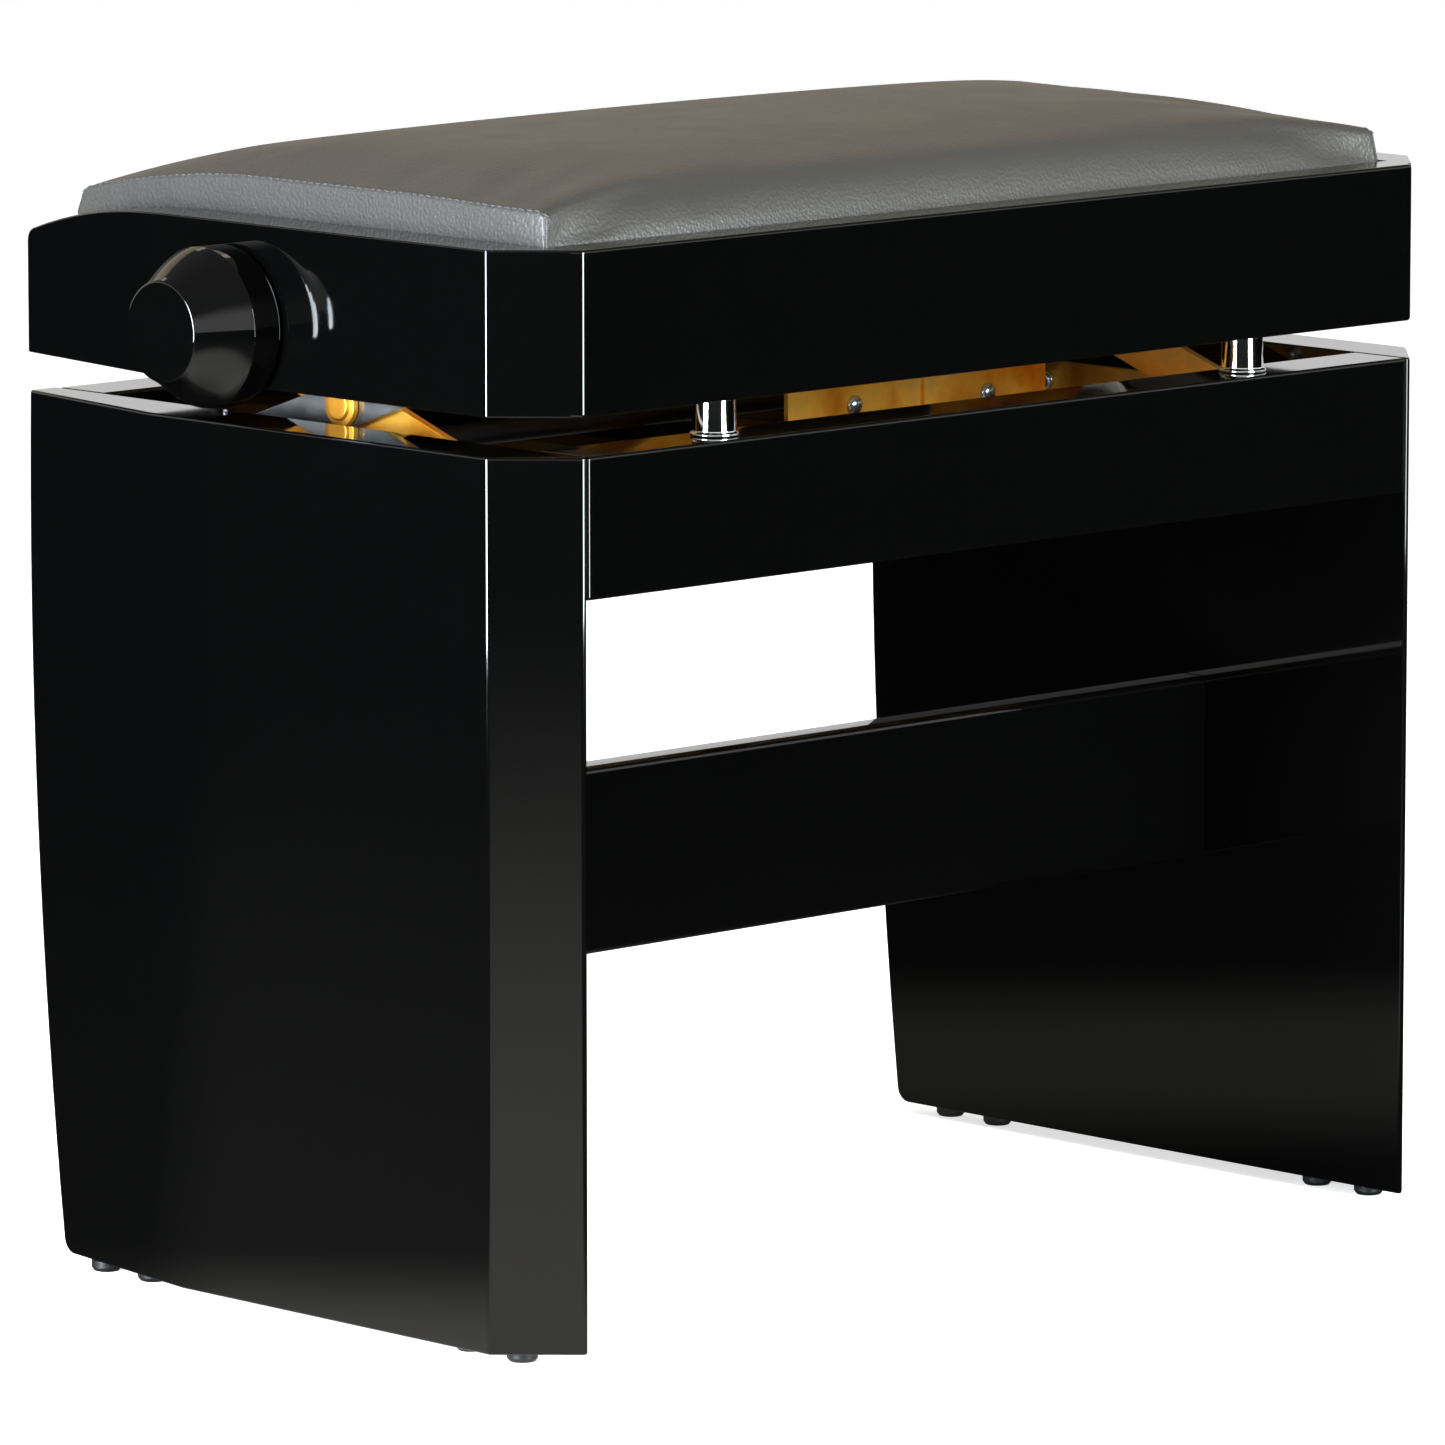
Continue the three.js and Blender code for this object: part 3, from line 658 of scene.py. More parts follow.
class PIANO_BENCH_OT_base(bpy.types.Operator):
    """Lacquers the legs, the rails and the stretcher"""

    bl_idname = "piano_bench.base"
    bl_label = "Base boards"

    def execute(self, context):
        radius = context.scene.piano_bench_sizes.lacquer_arris
        for node in ("left_leg_panel", "right_leg_panel", "front_rail", "back_rail"):
            eased(node, radius)
        eased("stretcher", radius / 2, angle=60)
        return {"FINISHED"}


class PIANO_BENCH_OT_seat_frame(bpy.types.Operator):
    """Lacquers the seat's end panels and rails, and fits the plywood board"""

    bl_idname = "piano_bench.seat_frame"
    bl_label = "Seat frame"

    def execute(self, context):
        radius = context.scene.piano_bench_sizes.lacquer_arris
        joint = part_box("right_seat_end")[0].x
        for node in ("left_seat_end", "right_seat_end", "seat_front_rail", "seat_back_rail"):
            eased(node, radius, joint=joint)
        eased("seat_board", 0.6 * MM)
        return {"FINISHED"}


# ---- Operators: turned pieces ----


def knob_profile(node, side):
    """A hand knob from its bore out: a thick rim, a soft shoulder, a long cone and a small flat face."""
    low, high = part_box(node)
    wide = half_size(node).z
    back, nose = (high.x, low.x) if side < 0 else (low.x, high.x)
    rim = back + side * 15 * MM
    face = 21 * MM
    bore = 8.3 * MM
    cone = []
    for step in range(17):
        share = step / 16
        bend = share * share * (3 - 2 * share)
        cone.append((wide + (face - wide) * (0.3 * bend + 0.7 * share), rim + (nose - rim) * share))
    outline = [(bore, back + side * 12 * MM), (bore, back), (wide - 2.5 * MM, back), (wide, back), *cone]
    outline = rounded([*outline, (0.0, nose)], {3: 2.2 * MM, 3 + len(cone): 1.1 * MM}, steps=7)
    return [(0.0, back + side * 12 * MM), *outline]


class PIANO_BENCH_OT_knobs(bpy.types.Operator):
    """Turns and lacquers the two hand knobs"""

    bl_idname = "piano_bench.knobs"
    bl_label = "Hand knobs"

    def execute(self, context):
        for name, side in LEFT_RIGHT:
            node = f"{name}_knob"
            lathe(node, knob_profile(node, side), "X", 96)
        return {"FINISHED"}


class PIANO_BENCH_OT_stops(bpy.types.Operator):
    """Turns the four chrome stops between the base and the seat frame"""

    bl_idname = "piano_bench.stops"
    bl_label = "Chrome stops"

    def execute(self, context):
        for row in ("front", "back"):
            for name, _ in LEFT_RIGHT:
                node = f"{name}_{row}_stop"
                low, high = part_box(node)
                wide = half_size(node).x
                outline = [
                    (0.0, low.z),
                    (wide, low.z),
                    (wide, low.z + 0.9 * MM),
                    (wide * 0.905, low.z + 1.6 * MM),
                    (wide * 0.85, high.z),
                    (0.0, high.z),
                ]
                outline = rounded(outline, {1: 0.3 * MM, 2: 0.35 * MM, 3: 0.8 * MM, 4: 0.7 * MM})
                lathe(node, outline, "Z", 64, 60)
        return {"FINISHED"}


class PIANO_BENCH_OT_feet(bpy.types.Operator):
    """Moulds the eight feet with softened edges"""

    bl_idname = "piano_bench.feet"
    bl_label = "Feet"

    def execute(self, context):
        feet = [node for node in frame["nodes"] if "_foot_" in node]
        for node in sorted(feet):
            low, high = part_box(node)
            wide = half_size(node).x
            outline = [
                (0.0, low.z), (wide - 1.2 * MM, low.z), (wide, low.z + 1.6 * MM), (wide, high.z),
                (0.0, high.z),
            ]
            outline = rounded(outline, {1: 0.8 * MM, 2: 0.8 * MM, 3: 0.3 * MM})
            lathe(node, outline, "Z", 40)
        return {"FINISHED"}


def bar_profile(low, high, radius):
    """A turned bar with chamfered ends."""
    edge = 0.8 * MM
    return [
        (0.0, low), (radius - edge, low), (radius, low + edge),
        (radius, high - edge), (radius - edge, high), (0.0, high),
    ]


def ring(node, bore, rim, steps):
    """A plain ring along X with the bore's radius given and its outer rims rounded."""
    low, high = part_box(node)
    wide = half_size(node).z
    outline = [(bore, low.x), (wide, low.x), (wide, high.x), (bore, high.x), (bore, low.x)]
    lathe(node, rounded(outline, {1: rim, 2: rim}, steps), "X")


class PIANO_BENCH_OT_rods(bpy.types.Operator):
    """Turns the scissor's rods and its nylon glides"""

    bl_idname = "piano_bench.rods"
    bl_label = "Rods and glides"

    def execute(self, context):
        for node in ("lower_pivot_rod", "upper_glide_rod", "lower_glide_rod", "upper_pivot_rod"):
            low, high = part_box(node)
            lathe(node, bar_profile(low.x, high.x, half_size(node).z), "X", 32)
        for name, _ in LEFT_RIGHT:
            for level in ("lower", "upper"):
                ring(f"{name}_{level}_glide", bore=5.25 * MM, rim=0.8 * MM, steps=5)
        return {"FINISHED"}


class PIANO_BENCH_OT_spindle(bpy.types.Operator):
    """Cuts the spindle's two threads and fits its collars and bushes"""

    bl_idname = "piano_bench.spindle"
    bl_label = "Spindle"

    def execute(self, context):
        low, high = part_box("spindle")
        centre = middle("spindle")
        radius = half_size("spindle").z
        rings = round((high.x - low.x) / (0.5 * MM))
        steps = [low.x + (high.x - low.x) * i / rings for i in range(rings + 1)]
        outline = [(0.0, low.x), *[(radius, x) for x in steps], (0.0, high.x)]
        piece = turned("spindle_finished", outline, "X", (0, 0, 0), 28)
        values = {
            "Radius": radius,
            "Depth": 1.3 * MM,
            "Pitch": context.scene.piano_bench_sizes.thread_pitch,
            "Starts": 2.0,
            "From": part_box("jack_nut")[0].x - 25 * MM,
            "To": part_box("jack_bed")[0].x + 10 * MM,
            "Finish": materials()["steel"],
        }
        run_tree(piece, thread_tree(), values)
        piece.data.transform(Matrix.Translation((0, centre.y, centre.z)))
        dress(smooth(piece, 50), slot_of("spindle"), body_of("spindle"), "spindle")
        for name, _ in LEFT_RIGHT:
            ring(f"{name}_collar", bore=8.2 * MM, rim=1 * MM, steps=2)
            eased(f"{name}_spindle_bush", 0.3 * MM, angle=40)
        return {"FINISHED"}


# ---- Operators: pressed steel and fasteners ----


class PIANO_BENCH_OT_lift(bpy.types.Operator):
    """Deburrs and plates the arms, brackets, bed, bars, jack plates, nuts and pins"""

    bl_idname = "piano_bench.lift"
    bl_label = "Scissor and jack"

    def execute(self, context):
        arris = context.scene.piano_bench_sizes.sheet_arris
        for node in sorted(frame["nodes"]):
            sheet = slot_of(node) in {"zinc_steel", "brass"} or node.endswith("_arm")
            if sheet and not node.endswith("_rivet"):
                eased(node, arris, segments=2, angle=50)
        for name, _ in LEFT_RIGHT:
            self.rivet(f"{name}_centre_rivet")
        self.pin("jack_pin")
        return {"FINISHED"}

    def rivet(self, node):
        """A shouldered rivet: a stepped button head on each side of the two arms."""
        low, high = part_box(node)
        wide = half_size(node).z
        rise = 4 * MM
        head = [
            (0.0, 0.0), (0.62 * wide, 0.0), (0.74 * wide, 0.3 * rise), (wide, 0.36 * rise), (wide, rise),
        ]
        near = [(radius, low.x + depth) for radius, depth in head]
        far = [(radius, high.x - depth) for radius, depth in reversed(head)]
        outline = rounded([*near, (5 * MM, near[-1][1]), (5 * MM, far[0][1]), *far],
                          {1: 0.8 * MM, 3: 0.5 * MM, 8: 0.5 * MM, 10: 0.8 * MM})
        lathe(node, outline, "X", sharp_degrees=35)

    def pin(self, node):
        """A headed pin across the bed channel."""
        low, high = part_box(node)
        wide = half_size(node).z
        shank = 4.7 * MM
        under = low.y + 3.5 * MM  # the underside of the head
        tail = high.y - 2 * MM
        outline = [
            (0.0, low.y), (wide * 0.6, low.y + 0.5 * MM), (wide, low.y + 2.5 * MM), (wide, under),
            (shank, under), (shank, tail), (wide, tail), (wide, high.y), (0.0, high.y),
        ]
        lathe(node, rounded(outline, {1: 1.5 * MM, 7: 0.5 * MM}), "Y", 40)


def pan_head(radius, height):
    """A pan head with a cross recess, pointing along +Z from its seat at the origin."""

    def reach(turn):
        """How far the cross recess reaches in this direction."""
        arm = 0.62 * radius
        width = 0.16 * radius
        off = (turn + math.pi / 4) % (math.pi / 2) - math.pi / 4
        return min(arm, width / max(abs(math.sin(off)), 1e-6))

    def build(shape):
        count = 32
        levels = [
            lambda t: (radius, 0.0),
            lambda t: (radius, 0.45 * height),
            lambda t: (0.86 * radius, 0.82 * height),
            lambda t: (0.7 * radius, 0.96 * height),
            lambda t: (reach(t), height),
            lambda t: (0.7 * reach(t), 0.35 * height),
        ]
        rings = []
        for level in levels:
            ring = []
            for i in range(count):
                turn = 2 * math.pi * i / count
                distance, z = level(turn)
                ring.append(shape.verts.new((distance * math.cos(turn), distance * math.sin(turn), z)))
            rings.append(ring)
        for low, high in zip(rings, rings[1:]):
            for i in range(count):
                j = (i + 1) % count
                shape.faces.new([low[i], low[j], high[j], high[i]])
        shape.faces.new(list(reversed(rings[0])))
        shape.faces.new(rings[-1])
        bmesh.ops.recalc_face_normals(shape, faces=shape.faces)

    return smooth(mesh_from("pan_head_template", build), 40)


def dome_head(radius, height):
    """A domed rivet head on a thin seat, pointing along +Z."""
    arcs = [math.pi / 2 * i / 8 for i in range(9)]
    dome = [(radius * math.cos(arc), height * (0.15 + 0.85 * math.sin(arc))) for arc in arcs]
    outline = [(0.0, 0.0), (radius, 0.0), *dome]
    outline[-1] = (0.0, height)
    return smooth(turned("dome_head_template", outline, "Z", (0, 0, 0), 24), 50)


def washer(bore, radius, thickness):
    """A flat washer on its side, its axis along +Z."""
    edge = thickness * 0.2
    outline = [
        (bore, 0.0), (radius - edge, 0.0), (radius, edge), (radius, thickness - edge),
        (radius - edge, thickness), (bore, thickness), (bore, 0.0),
    ]
    return smooth(turned("washer_template", outline, "Z", (0, 0, 0), 32))


def fasten(name, body, slot, template, places, seed=1):
    """Sets copies of a template at (point, facing) places on one body, and removes the template."""
    mesh = bpy.data.meshes.new(name)
    mesh.from_pydata([tuple(point) for point, _ in places], [], [])
    facing = mesh.attributes.new("facing", "FLOAT_VECTOR", "POINT")
    for entry, (_, direction) in zip(facing.data, places):
        entry.vector = direction
    piece = new_object(name, mesh)
    tree = bpy.data.node_groups.get("fasteners") or fasteners_tree()
    run_tree(piece, tree, {"Template": template, "Finish": materials()[slot], "Seed": seed})
    bpy.data.objects.remove(template)
    return dress(piece, slot, body)


SCREW_HEAD = (4.2 * MM, 2.4 * MM)  # radius and height
RIVET_HEAD = (4.4 * MM, 3 * MM)
WASHER = (5.05 * MM, 9 * MM, 1.2 * MM)  # bore, radius and thickness
DOUBLER = 2.5 * MM  # thickness of the plate on the bed's front wall
BRACKET_SHEET = 2.5 * MM


class PIANO_BENCH_OT_fasteners(bpy.types.Operator):
    """Sets the screws, rivets and washers of the lift"""

    bl_idname = "piano_bench.fasteners"
    bl_label = "Screws, rivets and washers"

    def execute(self, context):
        self.bracket_screws()
        self.bed_rivets()
        self.bar_screws()
        self.rod_washers()
        return {"FINISHED"}

    def bracket_screws(self):
        """Pan heads that hold the four brackets to the panels, in a row along each web."""
        inset = 45 * MM
        for level, body in (("lower", "base"), ("upper", "seat")):
            places = []
            for name, side in LEFT_RIGHT:
                low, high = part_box(f"{name}_{level}_bracket")
                face = (low.x if side < 0 else high.x) - side * BRACKET_SHEET
                height = (low.z + high.z) / 2 + 4 * MM
                for y in (low.y + inset, -12 * MM, 50 * MM, high.y - inset):
                    places.append(((face, y, height), (-side, 0, 0)))
            fasten(f"{level}_bracket_screws", body, "steel", pan_head(*SCREW_HEAD), places)

    def bed_rivets(self):
        """Domed rivets through both walls of the jack's bed channel."""
        low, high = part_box("jack_bed")
        places = [
            ((67 * MM, low.y + DOUBLER, high.z - 8.5 * MM), (0, -1, 0)),
            ((147 * MM, low.y, high.z - 9.5 * MM), (0, -1, 0)),
            ((90 * MM, high.y, high.z - 10 * MM), (0, 1, 0)),
            ((170 * MM, high.y, high.z - 10 * MM), (0, 1, 0)),
        ]
        fasten("bed_rivets", "base", "steel", dome_head(*RIVET_HEAD), places)

    def bar_screws(self):
        """Screws up through the cross bars' ends."""
        from_end, from_side = 12 * MM, 8 * MM
        places = []
        for name, _ in LEFT_RIGHT:
            low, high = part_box(f"{name}_cross_bar")
            for y in (low.y + from_end, high.y - from_end):
                for x in (low.x + from_side, high.x - from_side):
                    places.append(((x, y, low.z), (0, 0, -1)))
        fasten("cross_bar_screws", "base", "steel", pan_head(*SCREW_HEAD), places, seed=2)

    def rod_washers(self):
        """Washers where the rods leave the arms."""
        gap = 0.2 * MM
        for rods, body in (
            (("lower_pivot_rod", "upper_glide_rod"), "outer_scissor"),
            (("upper_pivot_rod", "lower_glide_rod"), "inner_scissor"),
        ):
            places = []
            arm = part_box("right_outer_arm" if body == "outer_scissor" else "right_inner_arm")
            for node in rods:
                centre = middle(node)
                for _, side in LEFT_RIGHT:
                    places.append(((side * (arm[0].x - gap), centre.y, centre.z), (-side, 0, 0)))
                    if body == "outer_scissor":
                        places.append(((side * (arm[1].x + gap), centre.y, centre.z), (side, 0, 0)))
            fasten(f"{body}_washers", body, "steel", washer(*WASHER), places)


# ---- Operators: the cushion ----


GRID = (84, 50, 6)  # cloth squares along X, Y and up the sides
BOARD_CLEARANCE = 0.3 * MM
COVER_INSET = 0.6 * MM  # how far the unfilled cover lies inside the foam's box
SEAM_TOP = 475.3 * MM  # height of the end panels' top seam at its middle
SEAM_FALL = 13.7 * MM  # how much lower it is at the back
SEAM_DIP = 1.8 * MM  # and at the front
FALL_START = 181 * MM  # behind the front edge, where the fall begins
CROWN = 8.5 * MM  # how much higher the top is than its seams
CROWN_RUN = 62 * MM  # over this distance from each end
HIDDEN = 7 * MM  # height of the strip that the frame hides, where the cover is held
FILL_FRAMES = 20  # frames of simulation that fill the cover


def ease(value):
    """A smooth step from 0 to 1."""
    value = max(0.0, min(1.0, value))
    return value * value * (3 - 2 * value)


def seam_height(y, front, back):
    """Height of the end panels' top seam: level, then falling with the frame's rim towards the back."""
    share = max(0.0, (y - front.y - FALL_START) / (back.y - front.y - FALL_START))
    dip = ease((front.y + 90 * MM - y) / (90 * MM))
    return SEAM_TOP - SEAM_FALL * share**1.7 - SEAM_DIP * dip


def cushion_point(a, b, c, low, high):
    """A point of the sewn cover before it is filled: a and b run over the plan from -1 to 1, and c up
    the sides from 0 to 1."""
    half_x = (high.x - low.x) / 2 - COVER_INSET
    half_y = (high.y - low.y) / 2 - COVER_INSET
    from_end = half_x * (1 - abs(a))
    from_side = half_y * (1 - abs(b))
    # The corner seams draw the cover in.
    x = a * (half_x - 2.2 * MM * math.exp(-from_side / (16 * MM)) * c)
    y = b * (half_y - 3.2 * MM * math.exp(-from_end / (24 * MM)) * c)
    seam = seam_height(y, low, high)
    # Along the front and back the top rolls over the edge; at the end seams it is folded sharp.
    roll = (1.2 + 6.8 * ease(from_end / (26 * MM))) * MM
    bottom = low.z + BOARD_CLEARANCE
    if c < 1:
        z = bottom + (seam - roll - bottom) * c
        return Vector((x, y, z))
    across = max(0.0, 1 - from_side / roll)
    z = seam - roll * (1 - math.sqrt(max(0.0, 1 - across * across)))
    swell = CROWN * (1 - (1 - min(1, from_end / CROWN_RUN)) ** 3) * (1 - abs(b) ** 3.4)
    return Vector((x, y, z + swell))


def sewn_cover(low, high):
    """The cover as a closed grid of squares, with the paths of its seams as lists of vertex numbers."""
    count_x, count_y, count_z = GRID
    mesh = bmesh.new()
    made = {}

    def warp(share):
        """Squares get narrower towards the edges, where the roll needs them."""
        return math.sin(share * math.pi / 2) * 0.45 + share * 0.55

    def vert(i, j, k):
        if (i, j, k) not in made:
            a, b, c = warp(2 * i / count_x - 1), warp(2 * j / count_y - 1), k / count_z
            if k == 0:
                half_x, half_y = (high.x - low.x) / 2 - COVER_INSET, (high.y - low.y) / 2 - COVER_INSET
                place = Vector((a * half_x, b * half_y, low.z + BOARD_CLEARANCE))
            else:
                place = cushion_point(a, b, c, low, high)
            made[i, j, k] = mesh.verts.new(place)
        return made[i, j, k]

    for i in range(count_x):
        for j in range(count_y):
            mesh.faces.new([vert(i, j, 0), vert(i, j + 1, 0), vert(i + 1, j + 1, 0), vert(i + 1, j, 0)])
            top = count_z
            mesh.faces.new(
                [vert(i, j, top), vert(i + 1, j, top), vert(i + 1, j + 1, top), vert(i, j + 1, top)]
            )
    for k in range(count_z):
        for i in range(count_x):
            mesh.faces.new([vert(i, 0, k), vert(i + 1, 0, k), vert(i + 1, 0, k + 1), vert(i, 0, k + 1)])
            j = count_y
            mesh.faces.new([vert(i, j, k), vert(i, j, k + 1), vert(i + 1, j, k + 1), vert(i + 1, j, k)])
        for j in range(count_y):
            mesh.faces.new([vert(0, j, k), vert(0, j, k + 1), vert(0, j + 1, k + 1), vert(0, j + 1, k)])
            i = count_x
            mesh.faces.new([vert(i, j, k), vert(i, j + 1, k), vert(i, j + 1, k + 1), vert(i, j, k + 1)])
    mesh.verts.index_update()
    seams = [[made[i, j, count_z].index for j in range(count_y + 1)] for i in (0, count_x)]
    seams += [
        [made[i, j, k].index for k in range(1, count_z + 1)] for i in (0, count_x) for j in (0, count_y)
    ]
    data = bpy.data.meshes.new("cushion_leather")
    mesh.to_mesh(data)
    mesh.free()
    return new_object("cushion_leather", data), seams


def fill_cover(piece, seams, low, high):
    """Blows the cover up like foam: a cloth simulation under pressure, held at the board and the seams."""
    start = [vert.co.copy() for vert in piece.data.vertices]
    held = piece.vertex_groups.new(name="held")
    sewn = {index for path in seams for index in path}
    hidden = low.z + HIDDEN
    for vert in piece.data.vertices:
        weight = max(0.0, min(1.0, (hidden + 4 * MM - vert.co.z) / (4 * MM)))
        if vert.index in sewn:
            pull = noise.noise(vert.co * per_metre(38) + Vector((7.3, 1.1, 4.7)))
            weight = max(weight, 0.75 + 0.25 * pull)
        held.add([vert.index], weight, "REPLACE")
    cloth = piece.modifiers.new("fill", "CLOTH")
    cloth.settings.quality = 6
    cloth.settings.mass = 0.3
    cloth.settings.tension_stiffness = 10
    cloth.settings.compression_stiffness = 10
    cloth.settings.shear_stiffness = 5
    cloth.settings.bending_stiffness = 0.5
    cloth.settings.use_pressure = True
    cloth.settings.uniform_pressure_force = 4.0
    cloth.settings.effector_weights.gravity = 0
    cloth.settings.vertex_group_mass = held.name
    scene = bpy.context.scene
    for step in range(1, FILL_FRAMES + 1):
        scene.frame_set(step)
    make_plain(piece)
    scene.frame_set(1)
    limit = scene.piano_bench_sizes.cushion_swell
    for vert, before in zip(piece.data.vertices, start):
        move = vert.co - before
        vert.co = before + move.normalized() * limit * math.tanh(move.length / limit)
    piece.vertex_groups.clear()


def sew(name, paths, pitch, length, radius):
    """Sews a row of stitches along each path of points."""
    points, edges = [], []
    for path in paths:
        first = len(points)
        points += path
        edges += [(first + i, first + i + 1) for i in range(len(path) - 1)]
    mesh = bpy.data.meshes.new(name)
    mesh.from_pydata(points, edges, [])
    piece = new_object(name, mesh)
    values = {
        "Stitch Pitch": pitch,
        "Stitch Length": length,
        "Stitch Radius": radius,
        "Finish": materials()["thread"],
    }
    run_tree(piece, seam_tree(), values)
    piece.data.shade_smooth()
    return dress(piece, "thread", "seat")


def cover_hem(low, high):
    """The cover's hem: a skin drawn down over the edges of the board, and tucked in above it."""
    corner = 1.2 * MM
    bottom, top = low.z + 0.4 * MM, high.z + 1.6 * MM
    # The hem's section, as (distance outside the board, height).
    section = [
        (0.12 * MM, bottom), (0.8 * MM, bottom + 0.2 * MM), (1.1 * MM, bottom + 1 * MM),
        (1.1 * MM, top - 1.6 * MM), (0.7 * MM, top - 0.6 * MM), (-0.4 * MM, top), (-1 * MM, top),
        (-1 * MM, top - 0.9 * MM), (0.12 * MM, top - 1.4 * MM),
    ]
    path = []
    corners = ((high.x, high.y), (low.x, high.y), (low.x, low.y), (high.x, low.y))
    for turn, (x, y) in enumerate(corners):
        centre = Vector((x - math.copysign(corner, x), y - math.copysign(corner, y), 0))
        for step in range(6):
            angle = math.radians(90 * turn + 18 * step)
            path.append((centre, Vector((math.cos(angle), math.sin(angle), 0))))

    def build(shape):
        rings = [
            [shape.verts.new(centre + away * (corner + out) + Vector((0, 0, z))) for out, z in section]
            for centre, away in path
        ]
        for ring, after in zip(rings, rings[1:] + rings[:1]):
            for k in range(len(section)):
                m = (k + 1) % len(section)
                shape.faces.new([ring[k], after[k], after[m], ring[m]])
        bmesh.ops.recalc_face_normals(shape, faces=shape.faces)

    return smooth(mesh_from("cushion_hem", build), 50)


class PIANO_BENCH_OT_cushion(bpy.types.Operator):
    """Pads the cushion, covers it in leatherette and sews its seams"""

    bl_idname = "piano_bench.cushion"
    bl_label = "Cushion"

    def execute(self, context):
        low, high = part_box("cushion")
        piece, seams = sewn_cover(low, high)
        fill_cover(piece, seams, low, high)
        centre = (low + high) / 2
        paths = []
        for seam in seams:
            # The stitches lie a little way into the leather.
            sunk = []
            for index in seam:
                place = piece.data.vertices[index].co
                away = Vector((place.x - centre.x, (place.y - centre.y) * 0.4, 0)).normalized()
                sunk.append(place - away * 0.2 * MM - Vector((0, 0, 0.25 * MM)))
            paths.append([point for point in sunk if point.z > low.z + HIDDEN + 2 * MM])
        crease = piece.data.attributes.new("crease_edge", "FLOAT", "EDGE")
        sewn = {frozenset(pair) for seam in seams for pair in zip(seam, seam[1:])}
        for edge in piece.data.edges:
            if frozenset(edge.vertices) in sewn:
                crease.data[edge.index].value = 0.8
        fine = piece.modifiers.new("fine", "SUBSURF")
        fine.levels = 1
        fine.render_levels = 1
        make_plain(piece)
        piece.data.shade_smooth()
        dress(piece, "leather", "seat", "cushion")
        dress(cover_hem(*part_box("seat_board")), "leather", "seat")
        pitch = context.scene.piano_bench_sizes.stitch_pitch
        sew("cushion_stitches", paths[:2], pitch, pitch * 0.8, 0.36 * MM)
        # Down the corners the stitches lie so close that they make one dark line: painted shade, which
        # stands in for the shade in the folded corner seams.
        sew("corner_stitches", paths[2:], 1.1 * MM, 1.8 * MM, 0.45 * MM)
        return {"FINISHED"}


# ---- Operators: the stage ----

CAMERA_TARGET = Vector((-0.0065, 0.0026, 0.2232))
CAMERA_AZIMUTH = math.radians(-44.09)
CAMERA_ELEVATION = math.radians(8.665)
CAMERA_DISTANCE = 4.784
CAMERA_LENS = 276.0


def card(name, size, place, turn, strength, tint):
    """A softbox: a rectangular area light that faces along its own -Z."""
    light = bpy.data.lights.new(name, "AREA")
    light.shape = "RECTANGLE"
    light.size, light.size_y = size
    light.energy = strength
    light.color = colour(tint)[:3]
    light.spread = math.radians(150)
    made = bpy.data.objects.new(name, light)
    made.location = place
    made.rotation_euler = turn
    made.visible_camera = False
    bpy.context.scene.collection.objects.link(made)
    return made


def floor_material():
    """Matt white paper."""
    material, tree, where = start_material("white_paper_sweep")
    tooth = noise_pattern(tree, where, 4, 2.0).outputs["Fac"]
    inputs = {
        "Base Color": colour("#fbfbfa"),
        "Roughness": 0.9,
        "Normal": bumped(tree, tooth, 0.05, 0.1),
        "Emission Color": colour("#ffffff"),
        "Emission Strength": 0.64,
    }
    return end_material(material, inputs)


def glow_material():
    """What the lacquer mirrors below the horizon: a dark room whose floor glows round the near corner,
    brightest in a lane that runs out from it at 45 degrees. A flag shades everything behind."""
    material, tree, where = start_material("studio_reflection")

    def band(value, near, far, first, last):
        """A smooth step of a value between two distances in metres."""
        inputs = {"Value": value, "From Min": near, "From Max": far, "To Min": first, "To Max": last}
        made = add_node(tree, "ShaderNodeMapRange", inputs, interpolation_type="SMOOTHSTEP")
        return made.outputs["Result"]

    def turned_axis(degrees, axis):
        """One coordinate of the floor after a turn about the corner."""
        inputs = {"Vector": where, "Rotation": (0, 0, math.radians(degrees))}
        turn = add_node(tree, "ShaderNodeMapping", inputs)
        return add_node(tree, "ShaderNodeSeparateXYZ", {0: turn.outputs[0]}).outputs[axis]

    def calc(operation, first, second=0.0):
        return add_node(tree, "ShaderNodeMath", {0: first, 1: second}, operation=operation).outputs[0]

    aside = calc("ABSOLUTE", turned_axis(45, "X"))
    distance = add_node(tree, "ShaderNodeVectorMath", {0: where}, operation="LENGTH").outputs["Value"]
    lane = calc("MULTIPLY", band(aside, 0.05, 0.28, 1.0, 0.0), band(distance, 0.0, 2.3, 0.8, 0.0))
    room = band(distance, 0.0, 1.9, 0.1, 0.01)
    # The flag's edge runs back from where the end panel's taper begins.
    flag = band(turned_axis(56, "Y"), 0.1, 0.16, 1.0, 0.25)
    strength = calc("MULTIPLY", calc("ADD", lane, room), flag)
    return glowing(material, colour("#fffdf6"), strength)


def flag_material():
    """A warm grey flag behind the bench, which the leather's top mirrors instead of the white paper."""
    return glowing(empty_material("grey_flag")[0], colour("#ffeccd"), 0.68)


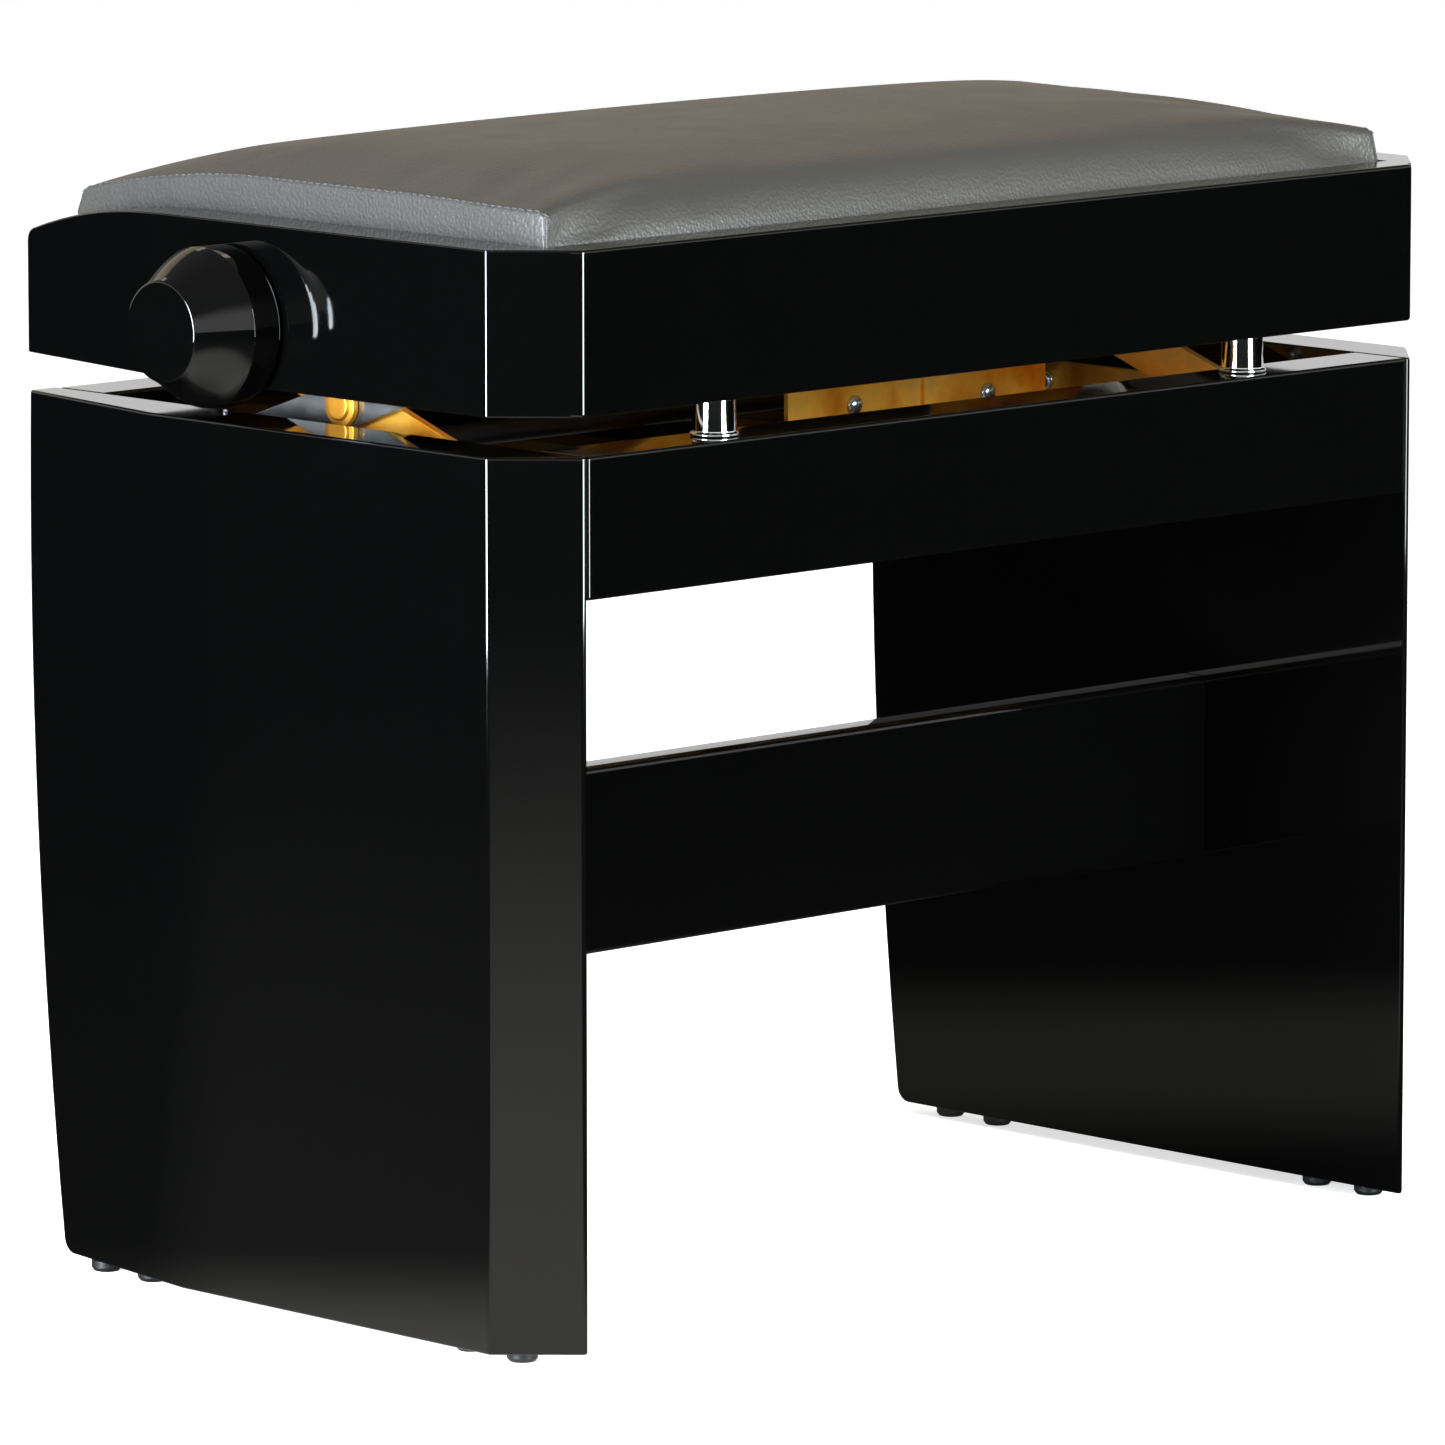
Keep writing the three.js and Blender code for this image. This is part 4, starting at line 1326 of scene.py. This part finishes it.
class PIANO_BENCH_OT_stage(bpy.types.Operator):
    """Sets the camera, the paper floor and the studio lights"""

    bl_idname = "piano_bench.stage"
    bl_label = "Stage"

    def execute(self, context):
        self.camera(context.scene)
        self.floor()
        self.lights(context.scene)
        return {"FINISHED"}

    def camera(self, scene):
        """A long lens a little above the seat, off the front left corner."""
        back = Vector(
            (
                math.sin(CAMERA_AZIMUTH) * math.cos(CAMERA_ELEVATION),
                -math.cos(CAMERA_AZIMUTH) * math.cos(CAMERA_ELEVATION),
                math.sin(CAMERA_ELEVATION),
            )
        )
        data = bpy.data.cameras.new("camera")
        data.sensor_width = 36
        data.lens = CAMERA_LENS
        data.clip_end = 100
        made = bpy.data.objects.new("camera", data)
        made.location = CAMERA_TARGET + back * CAMERA_DISTANCE
        made.rotation_euler = (-back).to_track_quat("-Z", "Y").to_euler()
        scene.collection.objects.link(made)
        scene.camera = made

    def floor(self):
        """A white paper floor, and a card at its level that only reflections see."""

        def sheet(half_width, half_height):
            stretch = Matrix.Diagonal((half_width, half_height, 1, 1))
            return lambda shape: bmesh.ops.create_grid(
                shape, x_segments=2, y_segments=2, size=1, matrix=stretch
            )

        paper = mesh_from("paper_floor", sheet(30, 30))
        paper.data.materials.append(floor_material())
        paper.visible_glossy = False
        glow = mesh_from("reflection_card", sheet(30, 30))
        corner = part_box("left_leg_panel")[0]
        glow.location = (corner.x, corner.y, -0.002)
        glow.data.materials.append(glow_material())
        flag = mesh_from("background_flag", sheet(2, 0.6))
        behind = Vector((-math.sin(CAMERA_AZIMUTH), math.cos(CAMERA_AZIMUTH), 0))
        flag.location = behind * 1.7 + Vector((0, 0, 1.26))
        flag.rotation_euler = (math.radians(90), 0, CAMERA_AZIMUTH)
        flag.data.materials.append(flag_material())
        for mirrored in (glow, flag):
            mirrored.visible_camera = False
            mirrored.visible_diffuse = False
            mirrored.visible_shadow = False

    def lights(self, scene):
        """An even white room with a soft key from above."""
        scene.view_settings.view_transform = "Standard"
        world = bpy.data.worlds.new("white_room")
        scene.world = world
        world.use_nodes = True
        tree = world.node_tree
        tree.nodes.clear()
        # White paper up to eye level all round, and a dark ceiling.
        where = add_node(tree, "ShaderNodeTexCoord").outputs["Generated"]
        height = add_node(tree, "ShaderNodeSeparateXYZ", {0: where}).outputs["Z"]
        ceiling = add_node(
            tree,
            "ShaderNodeMapRange",
            {"Value": height, "From Min": 0.3, "From Max": 0.6, "To Min": 1.0, "To Max": 0.14},
            interpolation_type="SMOOTHSTEP",
        )
        inputs = {"Color": colour("#ffffff"), "Strength": ceiling.outputs["Result"]}
        sky = add_node(tree, "ShaderNodeBackground", inputs)
        add_node(tree, "ShaderNodeOutputWorld", {"Surface": sky.outputs[0]})
        upright = math.radians(90)
        over = (math.radians(-48), 0, math.radians(-40))
        into_gap = (math.radians(76), 0, math.radians(8))
        card("back_softbox", (2.0, 1.2), (1.6, 2.0, 2.2), over, 7, "#ffefd8")
        card("gap_kicker", (0.4, 0.25), (0.25, -1.3, 0.72), into_gap, 12, "#f3f6ff")
        card("left_strip", (0.8, 1.6), (-2.3, -0.1, 0.7), (upright, 0, -upright), 200, "#ecf5ff")
        card("front_strip", (0.8, 1.6), (0.1, -2.3, 0.7), (upright, 0, 0), 100, "#eef8f4")


# ---- Panel, registration and running order ----

OPERATORS = (
    PIANO_BENCH_OT_stage,
    PIANO_BENCH_OT_base,
    PIANO_BENCH_OT_seat_frame,
    PIANO_BENCH_OT_knobs,
    PIANO_BENCH_OT_stops,
    PIANO_BENCH_OT_feet,
    PIANO_BENCH_OT_rods,
    PIANO_BENCH_OT_spindle,
    PIANO_BENCH_OT_lift,
    PIANO_BENCH_OT_fasteners,
    PIANO_BENCH_OT_cushion,
)


class PIANO_BENCH_PT_panel(bpy.types.Panel):
    """Lists the bench's operators and settings in the sidebar"""

    bl_label = "Piano Bench"
    bl_space_type = "VIEW_3D"
    bl_region_type = "UI"
    bl_category = "Piano Bench"

    def draw(self, context):
        for settings in (context.scene.piano_bench_sizes, context.scene.piano_bench_finish):
            for name in settings.__annotations__:
                self.layout.prop(settings, name)
        for operator in OPERATORS:
            self.layout.operator(operator.bl_idname)


CLASSES = (PianoBenchSizes, PianoBenchFinish, *OPERATORS, PIANO_BENCH_PT_panel)


def register():
    """Registers the classes and hangs the settings on the scene."""
    for entry in CLASSES:
        bpy.utils.register_class(entry)
    bpy.types.Scene.piano_bench_sizes = bpy.props.PointerProperty(type=PianoBenchSizes)
    bpy.types.Scene.piano_bench_finish = bpy.props.PointerProperty(type=PianoBenchFinish)


def unregister():
    """Takes the settings and the classes away again."""
    del bpy.types.Scene.piano_bench_finish
    del bpy.types.Scene.piano_bench_sizes
    for entry in reversed(CLASSES):
        bpy.utils.unregister_class(entry)


def main():
    register()
    for operator in OPERATORS:
        group, name = operator.bl_idname.split(".")
        getattr(getattr(bpy.ops, group), name)()


if __name__ == "__main__":
    main()
